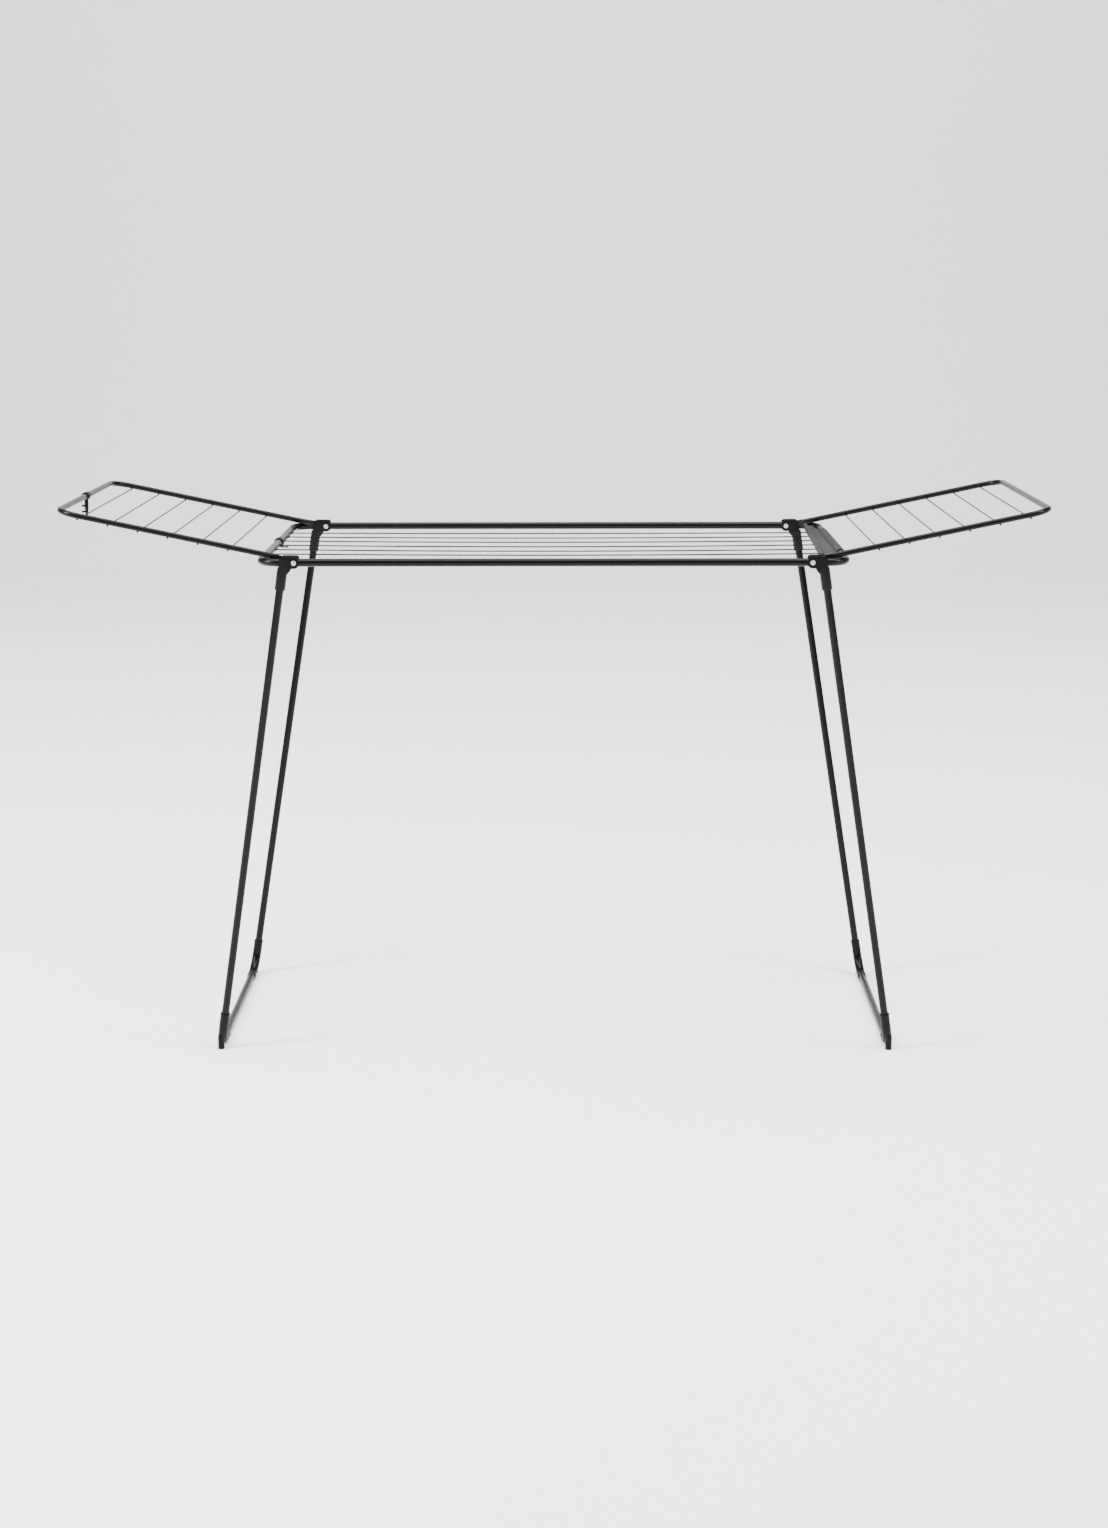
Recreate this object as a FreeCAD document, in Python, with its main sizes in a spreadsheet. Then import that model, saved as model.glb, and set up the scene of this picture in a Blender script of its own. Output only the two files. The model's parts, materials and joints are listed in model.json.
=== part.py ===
import FreeCAD, Part
import os
import Sketcher

# Free-standing folding clothes airer with two wings.
#
# Origin: on the floor, under the middle of the airer. +X runs along the long
# tubes, +Y across them, +Z up. The airer stands open: both leg frames are
# spread against their stops and both wings rest on the corners of the centre
# frame. Every hinge turns about a line along Y, through one pair of rivets.
#
# Legs, wings, brackets and feet are drawn once, for the left end, with their
# hinge line as local origin and the local -X pointing outboard. The right end
# is the same piece turned half a turn about Z.

doc = FreeCAD.newDocument("ClothesAirer")

# ---------------------------------------------------------------- sizes (mm)

SIZES = {
    # the whole
    "hinge_height": 915,
    "hinge_reach": 455,
    # centre frame: one bent and joined tube
    "frame_tube": 14,
    "frame_wall": 1.2,
    "frame_half_depth": 270.5,
    "frame_bend": 36,
    "frame_bend_start": 26,
    "centre_wire_pitch": 61.4,
    # wires
    "wire": 2.4,
    "weld_gap": 0.05,
    # leg frames
    "leg_tube": 14,
    "leg_wall": 1.2,
    "leg_tilt": 9.14,
    "leg_offset": 19,
    "leg_narrowing": 42.5,
    "leg_bend": 40,
    "leg_top_gap": 5.5,
    # wings
    "wing_tube": 10.4,
    "wing_wall": 1,
    "wing_length": 427.5,
    "wing_inset": 6,
    "wing_bend": 37,
    "wing_rise": 1.5,
    "wing_rest_gap": 0.5,
    "wing_wire_first": 120.1,
    "wing_wire_last": 38.15,
    "wing_wire_overhang": 2,
    "tab_thickness": 2.4,
    "tab_width": 13,
    "tab_length": 24,
    "tab_taper": 18,
    # hinge rivets
    "rivet_shank": 5,
    "rivet_play": 0.05,
    "rivet_head": 8.7,
    "rivet_head_height": 1.8,
    "rivet_crown": 1.2,
    "rivet_dimple": 2.4,
    "rivet_recess": 12,
    "rivet_recess_depth": 0.9,
    "head_gap": 0.1,
    # leg brackets
    "slide_gap": 0.3,
    "cheek": 2.4,
    "ear": 20,
    "cheek_top": 12,
    "bracket_outboard": 26.5,
    "bracket_inboard": 8,
    "inner_cheek_outboard": 22,
    "inner_cheek_step": 2.5,
    "lug_bottom": 19,
    "lug_depth": 2.3,
    "socket_wall": 2.35,
    "socket_end": 53,
    "cheek_chamfer": 3,
    "slip": 0.05,
    "web_gap": 2.2,
    # feet
    "foot_wall": 1.5,
    "foot_play": 0.1,
    "foot_floor_gap": 0.4,
    "foot_sleeve": 22,
    "foot_rim_wall": 0.6,
    "foot_rim_height": 4,
    "foot_slot": 10.5,
    "foot_run": 19.2,
    "foot_knob": 12,
    "foot_knob_height": 30,
    # end panel over the right end of the centre frame
    "panel_inset": 42.5,
    "panel_reach_front": 18,
    "panel_reach_back": 31,
    "panel_rim": 7,
    "panel_rim_top": 9,
    "panel_floor_top": 5.5,
    "panel_underside": 1.5,
    "panel_floor_end": 53.5,
    "panel_wall": 1.7,
    "cover_inset": 112.5,
    "cover_gap": 0.3,
    # clip on the left end of the centre frame
    "clip_centre": 12,
    "clip_width": 18,
    "clip_wall": 2,
    "clip_play": 0.1,
    "clip_tab": 9,
    # catch on the left wing's end tube
    "catch_width": 20,
    "catch_wall": 2,
    "catch_play": 0.3,
    "catch_length": 40,
    "catch_blade": 7,
    "catch_blade_depth": 4,
    "catch_peg": 4,
    "catch_peg_length": 6,
}
CENTRE_WIRE_SAGS = {1: 2.9, 2: 3.6, 3: 3.4, 4: 2.8, 5: 2.6, 6: 1.4}
WING_WIRES = 6

sheet = doc.addObject("Spreadsheet::Sheet", "Sizes")
for row, (name, value) in enumerate(SIZES.items(), start=1):
    sheet.set(f"A{row}", name)
    sheet.set(f"B{row}", str(value))
    sheet.setAlias(f"B{row}", name)
for number, sag in CENTRE_WIRE_SAGS.items():
    row = len(SIZES) + number
    sheet.set(f"A{row}", f"centre_wire_sag_{number}")
    sheet.set(f"B{row}", str(sag))
    sheet.setAlias(f"B{row}", f"centre_wire_sag_{number}")
doc.recompute()


def size(name):
    """Name one cell of the sheet inside an expression."""
    return f"Sizes.{name}"


def value(name):
    """Read one driving size from the sheet as a number."""
    return float(sheet.getContents(sheet.getCellFromAlias(name)))


# Sizes that follow from the driving ones, as expressions of the sheet.
FRAME_R = f"({size('frame_tube')} / 2)"
LEG_R = f"({size('leg_tube')} / 2)"
WING_R = f"({size('wing_tube')} / 2)"
WIRE_R = f"({size('wire')} / 2)"
REACH = size("hinge_reach")
HEIGHT = size("hinge_height")
DEPTH = size("frame_half_depth")
FRAME_REACH = f"({REACH} + {size('frame_bend_start')} + {size('frame_bend')})"
LEG_TILT = size("leg_tilt")
FOOT_R = f"({LEG_R} + {size('foot_play')} + {size('foot_wall')})"
LEG_TOP = f"({FRAME_R} + {size('leg_top_gap')})"

# The cross tube hangs this far down the leg's own axis.
LEG_LENGTH = (
    f"(({HEIGHT} - {FOOT_R} - {size('foot_floor_gap')} + {size('leg_offset')} * sin({LEG_TILT}))"
    f" / cos({LEG_TILT}))"
)
LEG_SPLAY = f"(atan({size('leg_narrowing')} / {LEG_LENGTH}) / 1deg)"
LEG_BEND_Y = (
    f"({DEPTH} - ({LEG_LENGTH} - {size('leg_bend')}) * tan({LEG_SPLAY})"
    f" - {size('leg_bend')} / cos({LEG_SPLAY}))"
)
LEG_BEND_Z = f"({size('leg_bend')} - {LEG_LENGTH})"

# Layers across the hinge, from the middle of the airer outwards: inner cheek,
# wing tab, centre-frame tube, outer cheek.
TAB_OUTER = f"({DEPTH} - {FRAME_R} - {size('slide_gap')})"
TAB_MIDDLE = f"({TAB_OUTER} - {size('tab_thickness')} / 2)"
INNER_CHEEK_OUTER = f"({TAB_OUTER} - {size('tab_thickness')} - {size('slide_gap')})"
INNER_CHEEK_INNER = f"({INNER_CHEEK_OUTER} - {size('cheek')})"
OUTER_CHEEK_INNER = f"({DEPTH} + {FRAME_R} + {size('slide_gap')})"
OUTER_CHEEK_OUTER = f"({OUTER_CHEEK_INNER} + {size('cheek')})"
WING_DEPTH = f"({TAB_MIDDLE} - {size('wing_inset')})"

# A wing's side tube crosses the corner bend of the centre frame here,
# outboard of the hinge, and rests on it.
CORNER_INSET = f"({WING_DEPTH} - {DEPTH} + {size('frame_bend')})"
WING_CROSSING = (
    f"({size('frame_bend_start')} + sqrt({size('frame_bend')}^2 - {CORNER_INSET}^2))"
)
WING_TILT = (
    f"(asin(({FRAME_R} + {WING_R} + {size('wing_rest_gap')} - {size('wing_rise')})"
    f" / {WING_CROSSING}) / 1deg)"
)

# -------------------------------------------------------------- small helpers

NO_TURN = "rotation(vector(0; 0; 1); 0)"
ALONG_X = "rotation(vector(0; 1; 0); 90)"
ALONG_Y = "rotation(vector(1; 0; 0); -90)"
IN_XZ = "rotation(vector(1; 0; 0); 90)"
IN_YZ = "rotation(vector(1; 1; 1); 120)"


def about(axis, angle):
    """Write a rotation about the x, y or z axis by an angle in degrees."""
    vector = {"x": "1; 0; 0", "y": "0; 1; 0", "z": "0; 0; 1"}[axis]
    return f"rotation(vector({vector}); {angle})"


def place(item, at, turn=NO_TURN):
    """Bind an object's placement to a position and a rotation."""
    x, y, z = at
    item.setExpression("Placement", f"placement(vector({x}; {y}; {z}); {turn})")


def primitive(kind, name, sizes, at=("0", "0", "0"), turn=NO_TURN):
    """Add one Part primitive whose sizes and place are expressions."""
    item = doc.addObject(f"Part::{kind}", name)
    for key, expression in sizes.items():
        item.setExpression(key, expression)
    place(item, at, turn)
    return item


def cylinder(name, radius, length, at, turn=NO_TURN):
    """Add a cylinder that starts at a point and runs along its turned Z."""
    return primitive("Cylinder", name, {"Radius": radius, "Height": length}, at, turn)


def bend(name, bend_radius, tube_radius, angle, at, turn):
    """Add the round stretch of a bent tube."""
    sizes = {"Radius1": bend_radius, "Radius2": tube_radius, "Angle3": angle}
    return primitive("Torus", name, sizes, at, turn)


def box(name, low, high, turn=NO_TURN):
    """Add a box between two corners, turned about the local origin."""
    lengths = [f"({top}) - ({bottom})" for bottom, top in zip(low, high)]
    item = primitive("Box", name, dict(zip(("Length", "Width", "Height"), lengths)))
    x, y, z = low
    turned = f"placement(vector(0; 0; 0); {turn})"
    item.setExpression("Placement", f"{turned} * placement(vector({x}; {y}; {z}); {NO_TURN})")
    return item


def fuse(name, pieces):
    """Join solids into one, which can then be placed as a whole."""
    if len(pieces) == 1:
        return grouped(name, pieces)
    item = doc.addObject("Part::MultiFuse", name)
    item.Shapes = pieces
    return item


def grouped(name, pieces):
    """Hold solids together without joining them."""
    item = doc.addObject("Part::Compound", name)
    item.Links = pieces
    return item


def cut(name, base, tool):
    """Take one solid away from another."""
    item = doc.addObject("Part::Cut", name)
    item.Base = base
    item.Tool = tool
    return item


def extruded(name, points, low, high, plane="XZ", at=("0", "0", "0"), turn=NO_TURN):
    """Extrude a closed outline, drawn in the XZ or XY plane, between two levels.

    Each corner of the outline is held by two distances from the local origin,
    which are bound to the sheet.
    """
    outline = doc.addObject("Sketcher::SketchObject", f"{name}_outline")
    count = len(points)
    rough = []
    for index in range(count):
        spin = FreeCAD.Rotation(FreeCAD.Vector(0, 0, 1), 360 * index / count)
        rough.append(spin.multVec(FreeCAD.Vector(10, 0, 0)))
    for index in range(count):
        line = Part.LineSegment(rough[index], rough[(index + 1) % count])
        outline.addGeometry(line, False)
    for index in range(count):
        outline.addConstraint(Sketcher.Constraint("Coincident", index, 2, (index + 1) % count, 1))
    for index, corner in enumerate(points):
        for kind, expression in zip(("DistanceX", "DistanceY"), corner):
            label = f"{kind}_{index}"
            held = outline.addConstraint(Sketcher.Constraint(kind, -1, 1, index, 1, 1.0))
            outline.renameConstraint(held, label)
            outline.setExpression(f"Constraints.{label}", expression)
    item = doc.addObject("Part::Extrusion", name)
    item.Base = outline
    item.DirMode = "Custom"
    item.Solid = True
    if plane == "XZ":
        place(outline, ("0", low, "0"), IN_XZ)
        item.Dir = (0, 1, 0)
    else:
        place(outline, ("0", "0", low))
        item.Dir = (0, 0, 1)
    item.setExpression("LengthFwd", f"({high}) - ({low})")
    place(item, at, turn)
    return item


NODES = []


def node(item, label, at=("0", "0", "0"), turn=NO_TURN):
    """Give a finished sub-part its label and its place in the airer."""
    item.Label = label
    place(item, at, turn)
    NODES.append(item)


def at_hinge(side, angle="0"):
    """Place and turn for a sub-part drawn about the left hinge line."""
    if side == "left":
        return (f"-{REACH}", "0", HEIGHT), about("y", angle)
    return (REACH, "0", HEIGHT), f"{about('z', '180')} * {about('y', angle)}"


# --------------------------------------------------------------- centre frame

def frame_loop(name, radius):
    """Rounded rectangle of tube in the plane of the hinges."""
    half_run = f"({FRAME_REACH} - {size('frame_bend')})"
    half_end = f"({DEPTH} - {size('frame_bend')})"
    pieces = []
    for sign in ("-", ""):
        long_at = (f"-{half_run}", f"{sign}{DEPTH}", HEIGHT)
        end_at = (f"{sign}{FRAME_REACH}", f"-{half_end}", HEIGHT)
        pieces.append(cylinder(f"{name}_long", radius, f"2 * {half_run}", long_at, ALONG_X))
        pieces.append(cylinder(f"{name}_end", radius, f"2 * {half_end}", end_at, ALONG_Y))
    for start, x_sign, y_sign in ((0, "", ""), (90, "-", ""), (180, "-", "-"), (270, "", "-")):
        centre = (f"{x_sign}{half_run}", f"{y_sign}{half_end}", HEIGHT)
        turn = about("z", start)
        pieces.append(bend(f"{name}_bend", size("frame_bend"), radius, "90", centre, turn))
    return fuse(name, pieces)


def centre_frame_tube():
    """The bent tube, drilled through its long sides for the hinge rivets."""
    outer = frame_loop("frame_skin", FRAME_R)
    inner = frame_loop("frame_bore", f"({FRAME_R} - {size('frame_wall')})")
    hollow = cut("frame_hollow", outer, inner)
    radius = f"({size('rivet_shank')} / 2 + {size('rivet_play')})"
    length = f"2 * {size('frame_tube')}"
    drills = []
    for x_sign in ("-", ""):
        for y_sign in ("-", ""):
            start = (f"{x_sign}{REACH}", f"{y_sign}{DEPTH} - {size('frame_tube')}", HEIGHT)
            drills.append(cylinder("frame_drill", radius, length, start, ALONG_Y))
    node(cut("centre_frame", hollow, fuse("frame_drills", drills)), "centre_frame_tube")


def centre_wires():
    """Six long wires between the end tubes, each hanging in its own slight bow."""
    half_span = f"({FRAME_REACH} - {FRAME_R} - {size('weld_gap')})"
    for number in CENTRE_WIRE_SAGS:
        sag = size(f"centre_wire_sag_{number}")
        bow = f"(({half_span}^2 + {sag}^2) / (2 * {sag}))"
        angle = f"(2 * asin({half_span} / {bow}) / 1deg)"
        y = f"({number} - 3.5) * {size('centre_wire_pitch')}"
        wire = bend(
            f"centre_wire_bow_{number}", bow, WIRE_R, angle,
            ("0", y, f"{HEIGHT} - {sag} + {bow}"), f"{IN_XZ} * {about('z', f'-90 - {angle} / 2')}",
        )
        wire.Label = f"centre_wire_{number}"
        NODES.append(wire)


def hinge_rivets():
    """Four rivets through the brackets, the frame tube and the wing tabs."""
    inner = f"({INNER_CHEEK_INNER} + {size('rivet_recess_depth')} - {size('head_gap')})"
    outer = f"({OUTER_CHEEK_OUTER} - {size('rivet_recess_depth')} + {size('head_gap')})"
    rivets = []
    for x_sign in ("-", ""):
        for y_sign, turn in (("", ALONG_Y), ("-", about("x", 90))):
            x = f"{x_sign}{REACH}"
            shank = cylinder(
                "shank", f"({size('rivet_shank')} / 2)", f"{outer} - {inner}",
                (x, f"{y_sign}{inner}", HEIGHT), turn,
            )
            pieces = [shank]
            for edge, flip in ((outer, 0), (inner, 180)):
                head_turn = f"{turn} * {about('x', flip)}"
                foot = primitive("Cone", "head", {
                    "Radius1": f"{size('rivet_head')} / 2",
                    "Radius2": f"{size('rivet_head')} / 2 - {size('rivet_crown')}",
                    "Height": size("rivet_head_height"),
                }, (x, f"{y_sign}{edge}", HEIGHT), head_turn)
                pieces.append(foot)
            rivet = fuse("rivet", pieces)
            dimples = []
            for edge, side in ((outer, "+"), (inner, "-")):
                middle = f"{y_sign}({edge} {side} {size('rivet_head_height')})"
                dimples.append(primitive(
                    "Sphere", "dimple", {"Radius": f"{size('rivet_dimple')} / 2"}, (x, middle, HEIGHT)
                ))
            rivets.append(cut("dimpled_rivet", rivet, fuse("dimples", dimples)))
    node(grouped("rivet_group", rivets), "hinge_rivets")


def end_panel():
    """Moulded panel over the right end: raised rim, recessed floor, tube cover."""
    tube_x = f"({FRAME_REACH} - {REACH})"
    half = f"({DEPTH} - {size('panel_inset')})"
    front = size("panel_reach_front")
    back = size("panel_reach_back")
    rim = size("panel_rim")
    end = size("panel_floor_end")
    floor_top = size("panel_floor_top")
    cover_half = f"({DEPTH} - {size('cover_inset')})"
    cover_inner = f"({FRAME_R} + {size('cover_gap')})"
    cover_outer = f"({cover_inner} + {size('panel_wall')})"
    rim_bar = extruded("panel_rim_bar", [
        (front, f"-{half}"),
        (f"{front} + {rim}", f"-{half}"),
        (f"{back} + {rim}", half),
        (back, half),
    ], size("panel_underside"), size("panel_rim_top"), "XY")
    floor = extruded("panel_floor", [
        (f"{front} + {rim} / 2", f"-{half}"),
        (end, f"-{half}"),
        (end, half),
        (f"{back} + {rim} / 2", half),
    ], f"{floor_top} - {size('panel_wall')}", floor_top, "XY")
    bridge = box(
        "panel_bridge",
        (f"{end} - {rim}", f"-{cover_half}", f"{floor_top} - {size('panel_wall')}"),
        (f"{tube_x} - {cover_inner} + {size('panel_wall')}", cover_half, floor_top),
    )
    start = (tube_x, f"-{cover_half}", "0")
    length = f"2 * {cover_half}"
    skin = cylinder("cover_skin", cover_outer, length, start, ALONG_Y)
    bore = cylinder("cover_bore", cover_inner, length, start, ALONG_Y)
    mouth = box(
        "cover_mouth",
        (f"{tube_x} - 1", f"-{cover_half} - 1", f"-2 * {cover_outer}"),
        (f"{tube_x} + 2 * {cover_outer}", f"{cover_half} + 1", f"-{FRAME_R} / 2"),
    )
    wire_side = box(
        "cover_wire_side",
        (f"{tube_x} - 2 * {cover_outer}", f"-{cover_half} - 1", f"-2 * {cover_outer}"),
        (tube_x, f"{cover_half} + 1", size("panel_underside")),
    )
    body = fuse("panel_body", [rim_bar, floor, bridge, skin])
    panel = cut("panel", body, fuse("panel_cuts", [bore, mouth, wire_side]))
    node(panel, "end_panel", (REACH, "0", HEIGHT))


def frame_clip():
    """Snap clip round the left end tube, with a short tab pointing inboard."""
    inner = f"({FRAME_R} + {size('clip_play')})"
    outer = f"({inner} + {size('clip_wall')})"
    low_y = f"({size('clip_centre')} - {size('clip_width')} / 2)"
    start = ("0", low_y, "0")
    ring = cylinder("clip_ring", outer, size("clip_width"), start, ALONG_Y)
    bore = cylinder("clip_bore", inner, size("clip_width"), start, ALONG_Y)
    tab_end = (
        f"{outer} + {size('clip_tab')}",
        f"{low_y} + {size('clip_width')} / 2",
        f"{size('clip_wall')} - {outer}",
    )
    tab = box("clip_tab", (f"{FRAME_R} / 2", low_y, f"-{outer}"), tab_end)
    slot = box(
        "clip_slot", (f"-{FRAME_R} / 2", f"{low_y} - 1", f"-2 * {outer}"),
        (f"{FRAME_R} / 2", f"{low_y} + {size('clip_width')} + 1", "0"),
    )
    clip = cut("clip", fuse("clip_body", [ring, tab]), fuse("clip_cuts", [bore, slot]))
    node(clip, "frame_clip", (f"-{FRAME_REACH}", "0", HEIGHT))


# ------------------------------------------------------------------ leg frames

def leg_frame_solid(name, radius):
    """U of tube: two narrowing sides, two bends and the cross tube on the floor."""
    x = f"-{size('leg_offset')}"
    side_length = (
        f"({LEG_LENGTH} - {LEG_TOP} - {size('leg_bend')} * (1 - sin({LEG_SPLAY})))"
        f" / cos({LEG_SPLAY})"
    )
    top_y = f"({DEPTH} - {LEG_TOP} * tan({LEG_SPLAY}))"
    cross_at = (x, f"-{LEG_BEND_Y}", f"-{LEG_LENGTH}")
    pieces = [cylinder(f"{name}_cross", radius, f"2 * {LEG_BEND_Y}", cross_at, ALONG_Y)]
    for y_sign, lean, start in (("", "180 -", "-90"), ("-", "180 +", f"{LEG_SPLAY} - 180")):
        top = (x, f"{y_sign}{top_y}", f"-{LEG_TOP}")
        lean_turn = about("x", f"{lean} {LEG_SPLAY}")
        pieces.append(cylinder(f"{name}_side", radius, side_length, top, lean_turn))
        centre = (x, f"{y_sign}{LEG_BEND_Y}", LEG_BEND_Z)
        turn = f"{IN_YZ} * {about('z', start)}"
        pieces.append(bend(f"{name}_bend", size("leg_bend"), radius, f"90 - {LEG_SPLAY}", centre, turn))
    return fuse(name, pieces)


def leg_frame(side):
    """One hollow leg U."""
    outer = leg_frame_solid("leg_skin", LEG_R)
    inner = leg_frame_solid("leg_bore", f"({LEG_R} - {size('leg_wall')})")
    node(cut("leg_frame", outer, inner), f"{side}_leg_tube", *at_hinge(side, LEG_TILT))


def leg_line(name, radius, near, far, y_sign):
    """Round bar along one leg side, between two distances down the leg."""
    lean = "180 -" if y_sign == "" else "180 +"
    start = (f"-{size('leg_offset')}", f"{y_sign}({DEPTH} - {near} * tan({LEG_SPLAY}))", f"-{near}")
    length = f"({far} - {near}) / cos({LEG_SPLAY})"
    return cylinder(name, radius, length, start, about("x", f"{lean} {LEG_SPLAY}"))


def tilted(name, pieces):
    """Join solids drawn along the leg and lean them with it."""
    group = fuse(name, pieces)
    place(group, ("0", "0", "0"), about("y", LEG_TILT))
    return group


def span(inner, outer, y_sign):
    """Order two distances from the middle of the airer as low and high Y."""
    if y_sign == "":
        return inner, outer
    return f"-({outer})", f"-({inner})"


def leg_bracket(side, end):
    """Forked hinge bracket: two cheeks, a block under the frame tube, a leg socket."""
    y_sign = hinge_end_sign(side, end)
    outboard = size("bracket_outboard")
    inboard = size("bracket_inboard")
    top = size("cheek_top")
    lug = size("lug_bottom")
    chamfer = size("cheek_chamfer")
    low, high = span(INNER_CHEEK_INNER, OUTER_CHEEK_OUTER, y_sign)
    plate = extruded("bracket_plate", [
        (inboard, f"{top} - {chamfer}"),
        (f"{inboard} - {chamfer}", top),
        (f"2 * {chamfer} - {outboard}", top),
        (f"-{outboard}", f"{top} - 2 * {chamfer}"),
        (f"-{outboard}", f"-{lug} / 2"),
        (f"-{outboard} - {size('lug_depth')}", f"-{lug}"),
        (f"-{size('leg_offset')} / 2", f"-{lug}"),
        (f"{chamfer} - {size('leg_offset')} / 2", f"-{size('ear')} / 2"),
        ("0", f"-{size('ear')} / 2"),
        (inboard, "0"),
    ], low, high)
    ear = cylinder("bracket_ear", f"{size('ear')} / 2", f"{high} - {low}", ("0", low, "0"), ALONG_Y)
    socket = leg_line(
        "socket_skin", f"({LEG_R} + {size('socket_wall')})", LEG_TOP, size("socket_end"), y_sign
    )
    body = fuse("bracket_body", [plate, ear, tilted("tilted_socket", [socket])])
    gap_low, gap_high = span(INNER_CHEEK_OUTER, OUTER_CHEEK_INNER, y_sign)
    reach = f"(3 * {size('bracket_outboard')})"
    seat = box(
        "tube_seat", (f"-{reach}", gap_low, f"-{FRAME_R} - {size('slide_gap')}"), (reach, gap_high, reach)
    )
    swing = box(
        "swing_room", (f"-{FRAME_R} - {size('web_gap')}", gap_low, f"-{size('socket_end')} - {reach}"),
        (reach, gap_high, reach), about("y", LEG_TILT),
    )
    notch_low, notch_high = span(
        f"({INNER_CHEEK_INNER} - 1)", f"({INNER_CHEEK_OUTER} + {size('slide_gap')} / 3)", y_sign
    )
    notch = box(
        "wing_notch", (f"-{reach}", notch_low, f"-{size('inner_cheek_step')}"),
        (f"-{size('inner_cheek_outboard')}", notch_high, reach),
    )
    bore = leg_line(
        "socket_bore", f"({LEG_R} + {size('slip')})", f"({LEG_TOP} - {size('slip')})",
        f"(2 * {size('socket_end')})", y_sign,
    )
    hinge = cylinder(
        "bracket_hinge", f"({size('rivet_shank')} / 2 + {size('rivet_play')})",
        f"{high} - {low}", ("0", low, "0"), ALONG_Y,
    )
    cuts = [seat, swing, notch, tilted("tilted_bore", [bore]), hinge]
    depth = size("rivet_recess_depth")
    for face in (INNER_CHEEK_INNER, f"({OUTER_CHEEK_OUTER} - {depth})"):
        recess_low, _ = span(face, f"({face} + {depth})", y_sign)
        cuts.append(cylinder(
            "rivet_recess", f"{size('rivet_recess')} / 2", depth, ("0", recess_low, "0"), ALONG_Y
        ))
    bracket = cut("leg_bracket", body, fuse("bracket_cuts", cuts))
    node(bracket, f"{side}_{end}_leg_bracket", *at_hinge(side))


def hinge_end_sign(side, end):
    """Sign of local Y for the front or back end of a piece drawn for the left."""
    return "-" if (end == "front") == (side == "left") else ""


def foot(side, end):
    """Elbow shell round the corner of the leg U, open inside the bend, with a knob."""
    y_sign = hinge_end_sign(side, end)
    x = f"-{size('leg_offset')}"
    bore_radius = f"({LEG_R} + {size('foot_play')})"
    sleeve_top = f"({LEG_LENGTH} - {size('leg_bend')} - {size('foot_sleeve')})"
    sleeve_end = f"({LEG_LENGTH} - {size('leg_bend')} * (1 - sin({LEG_SPLAY})))"
    start = "-90" if y_sign == "" else f"{LEG_SPLAY} - 180"
    turn = f"{IN_YZ} * {about('z', start)}"
    centre = (x, f"{y_sign}{LEG_BEND_Y}", LEG_BEND_Z)
    run_turn = about("x", 90) if y_sign == "" else ALONG_Y
    run_at = (x, f"{y_sign}{LEG_BEND_Y}", f"-{LEG_LENGTH}")
    past_run = f"(2.1 * {size('leg_bend')})"

    def elbow(name, radius, top, run_length):
        """Round bar that follows the side, the bend and the start of the cross tube."""
        return [
            leg_line(f"{name}_side", radius, top, sleeve_end, y_sign),
            bend(f"{name}_bend", size("leg_bend"), radius, f"90 - {LEG_SPLAY}", centre, turn),
            cylinder(f"{name}_run", radius, run_length, run_at, run_turn),
        ]

    rim = leg_line(
        "foot_rim", f"({FOOT_R} + {size('foot_rim_wall')})",
        sleeve_top, f"{sleeve_top} + {size('foot_rim_height')}", y_sign,
    )
    skin = elbow("foot_skin", FOOT_R, sleeve_top, size("foot_run"))
    knob_x = f"(-{size('leg_offset')} * cos({LEG_TILT}) - {LEG_LENGTH} * sin({LEG_TILT}))"
    knob_y = f"({LEG_BEND_Y} + {size('leg_bend')})"
    body = fuse("foot_body", [
        tilted("tilted_foot", [rim] + skin),
        cylinder(
            "foot_knob", f"{size('foot_knob')} / 2", size("foot_knob_height"),
            (knob_x, f"{y_sign}{knob_y}", f"-{HEIGHT}"),
        ),
    ])
    bore = elbow("foot_bore", bore_radius, f"({sleeve_top} - 1)", past_run)
    slot_low, slot_high = span(f"({LEG_BEND_Y} - {past_run})", f"{LEG_BEND_Y} + {size('leg_bend')}", y_sign)
    slot = box(
        "foot_slot", (f"{x} - {size('foot_slot')} / 2", slot_low, f"-{LEG_LENGTH}"),
        (f"{x} + {size('foot_slot')} / 2", slot_high, f"{size('foot_rim_height')} - {sleeve_top} - 12"),
    )
    floor_cut = box(
        "foot_floor", (f"-2 * {LEG_LENGTH}", f"-{DEPTH} * 2", f"-{HEIGHT} - 50"),
        (f"{LEG_LENGTH}", f"{DEPTH} * 2", f"-{HEIGHT}"),
    )
    bored = cut("foot_bored", body, tilted("tilted_foot_bore", bore))
    slotted = cut("foot_slotted", bored, tilted("tilted_foot_slot", [slot]))
    node(cut("foot", slotted, floor_cut), f"{side}_{end}_foot", *at_hinge(side))


# ----------------------------------------------------------------------- wings

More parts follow.
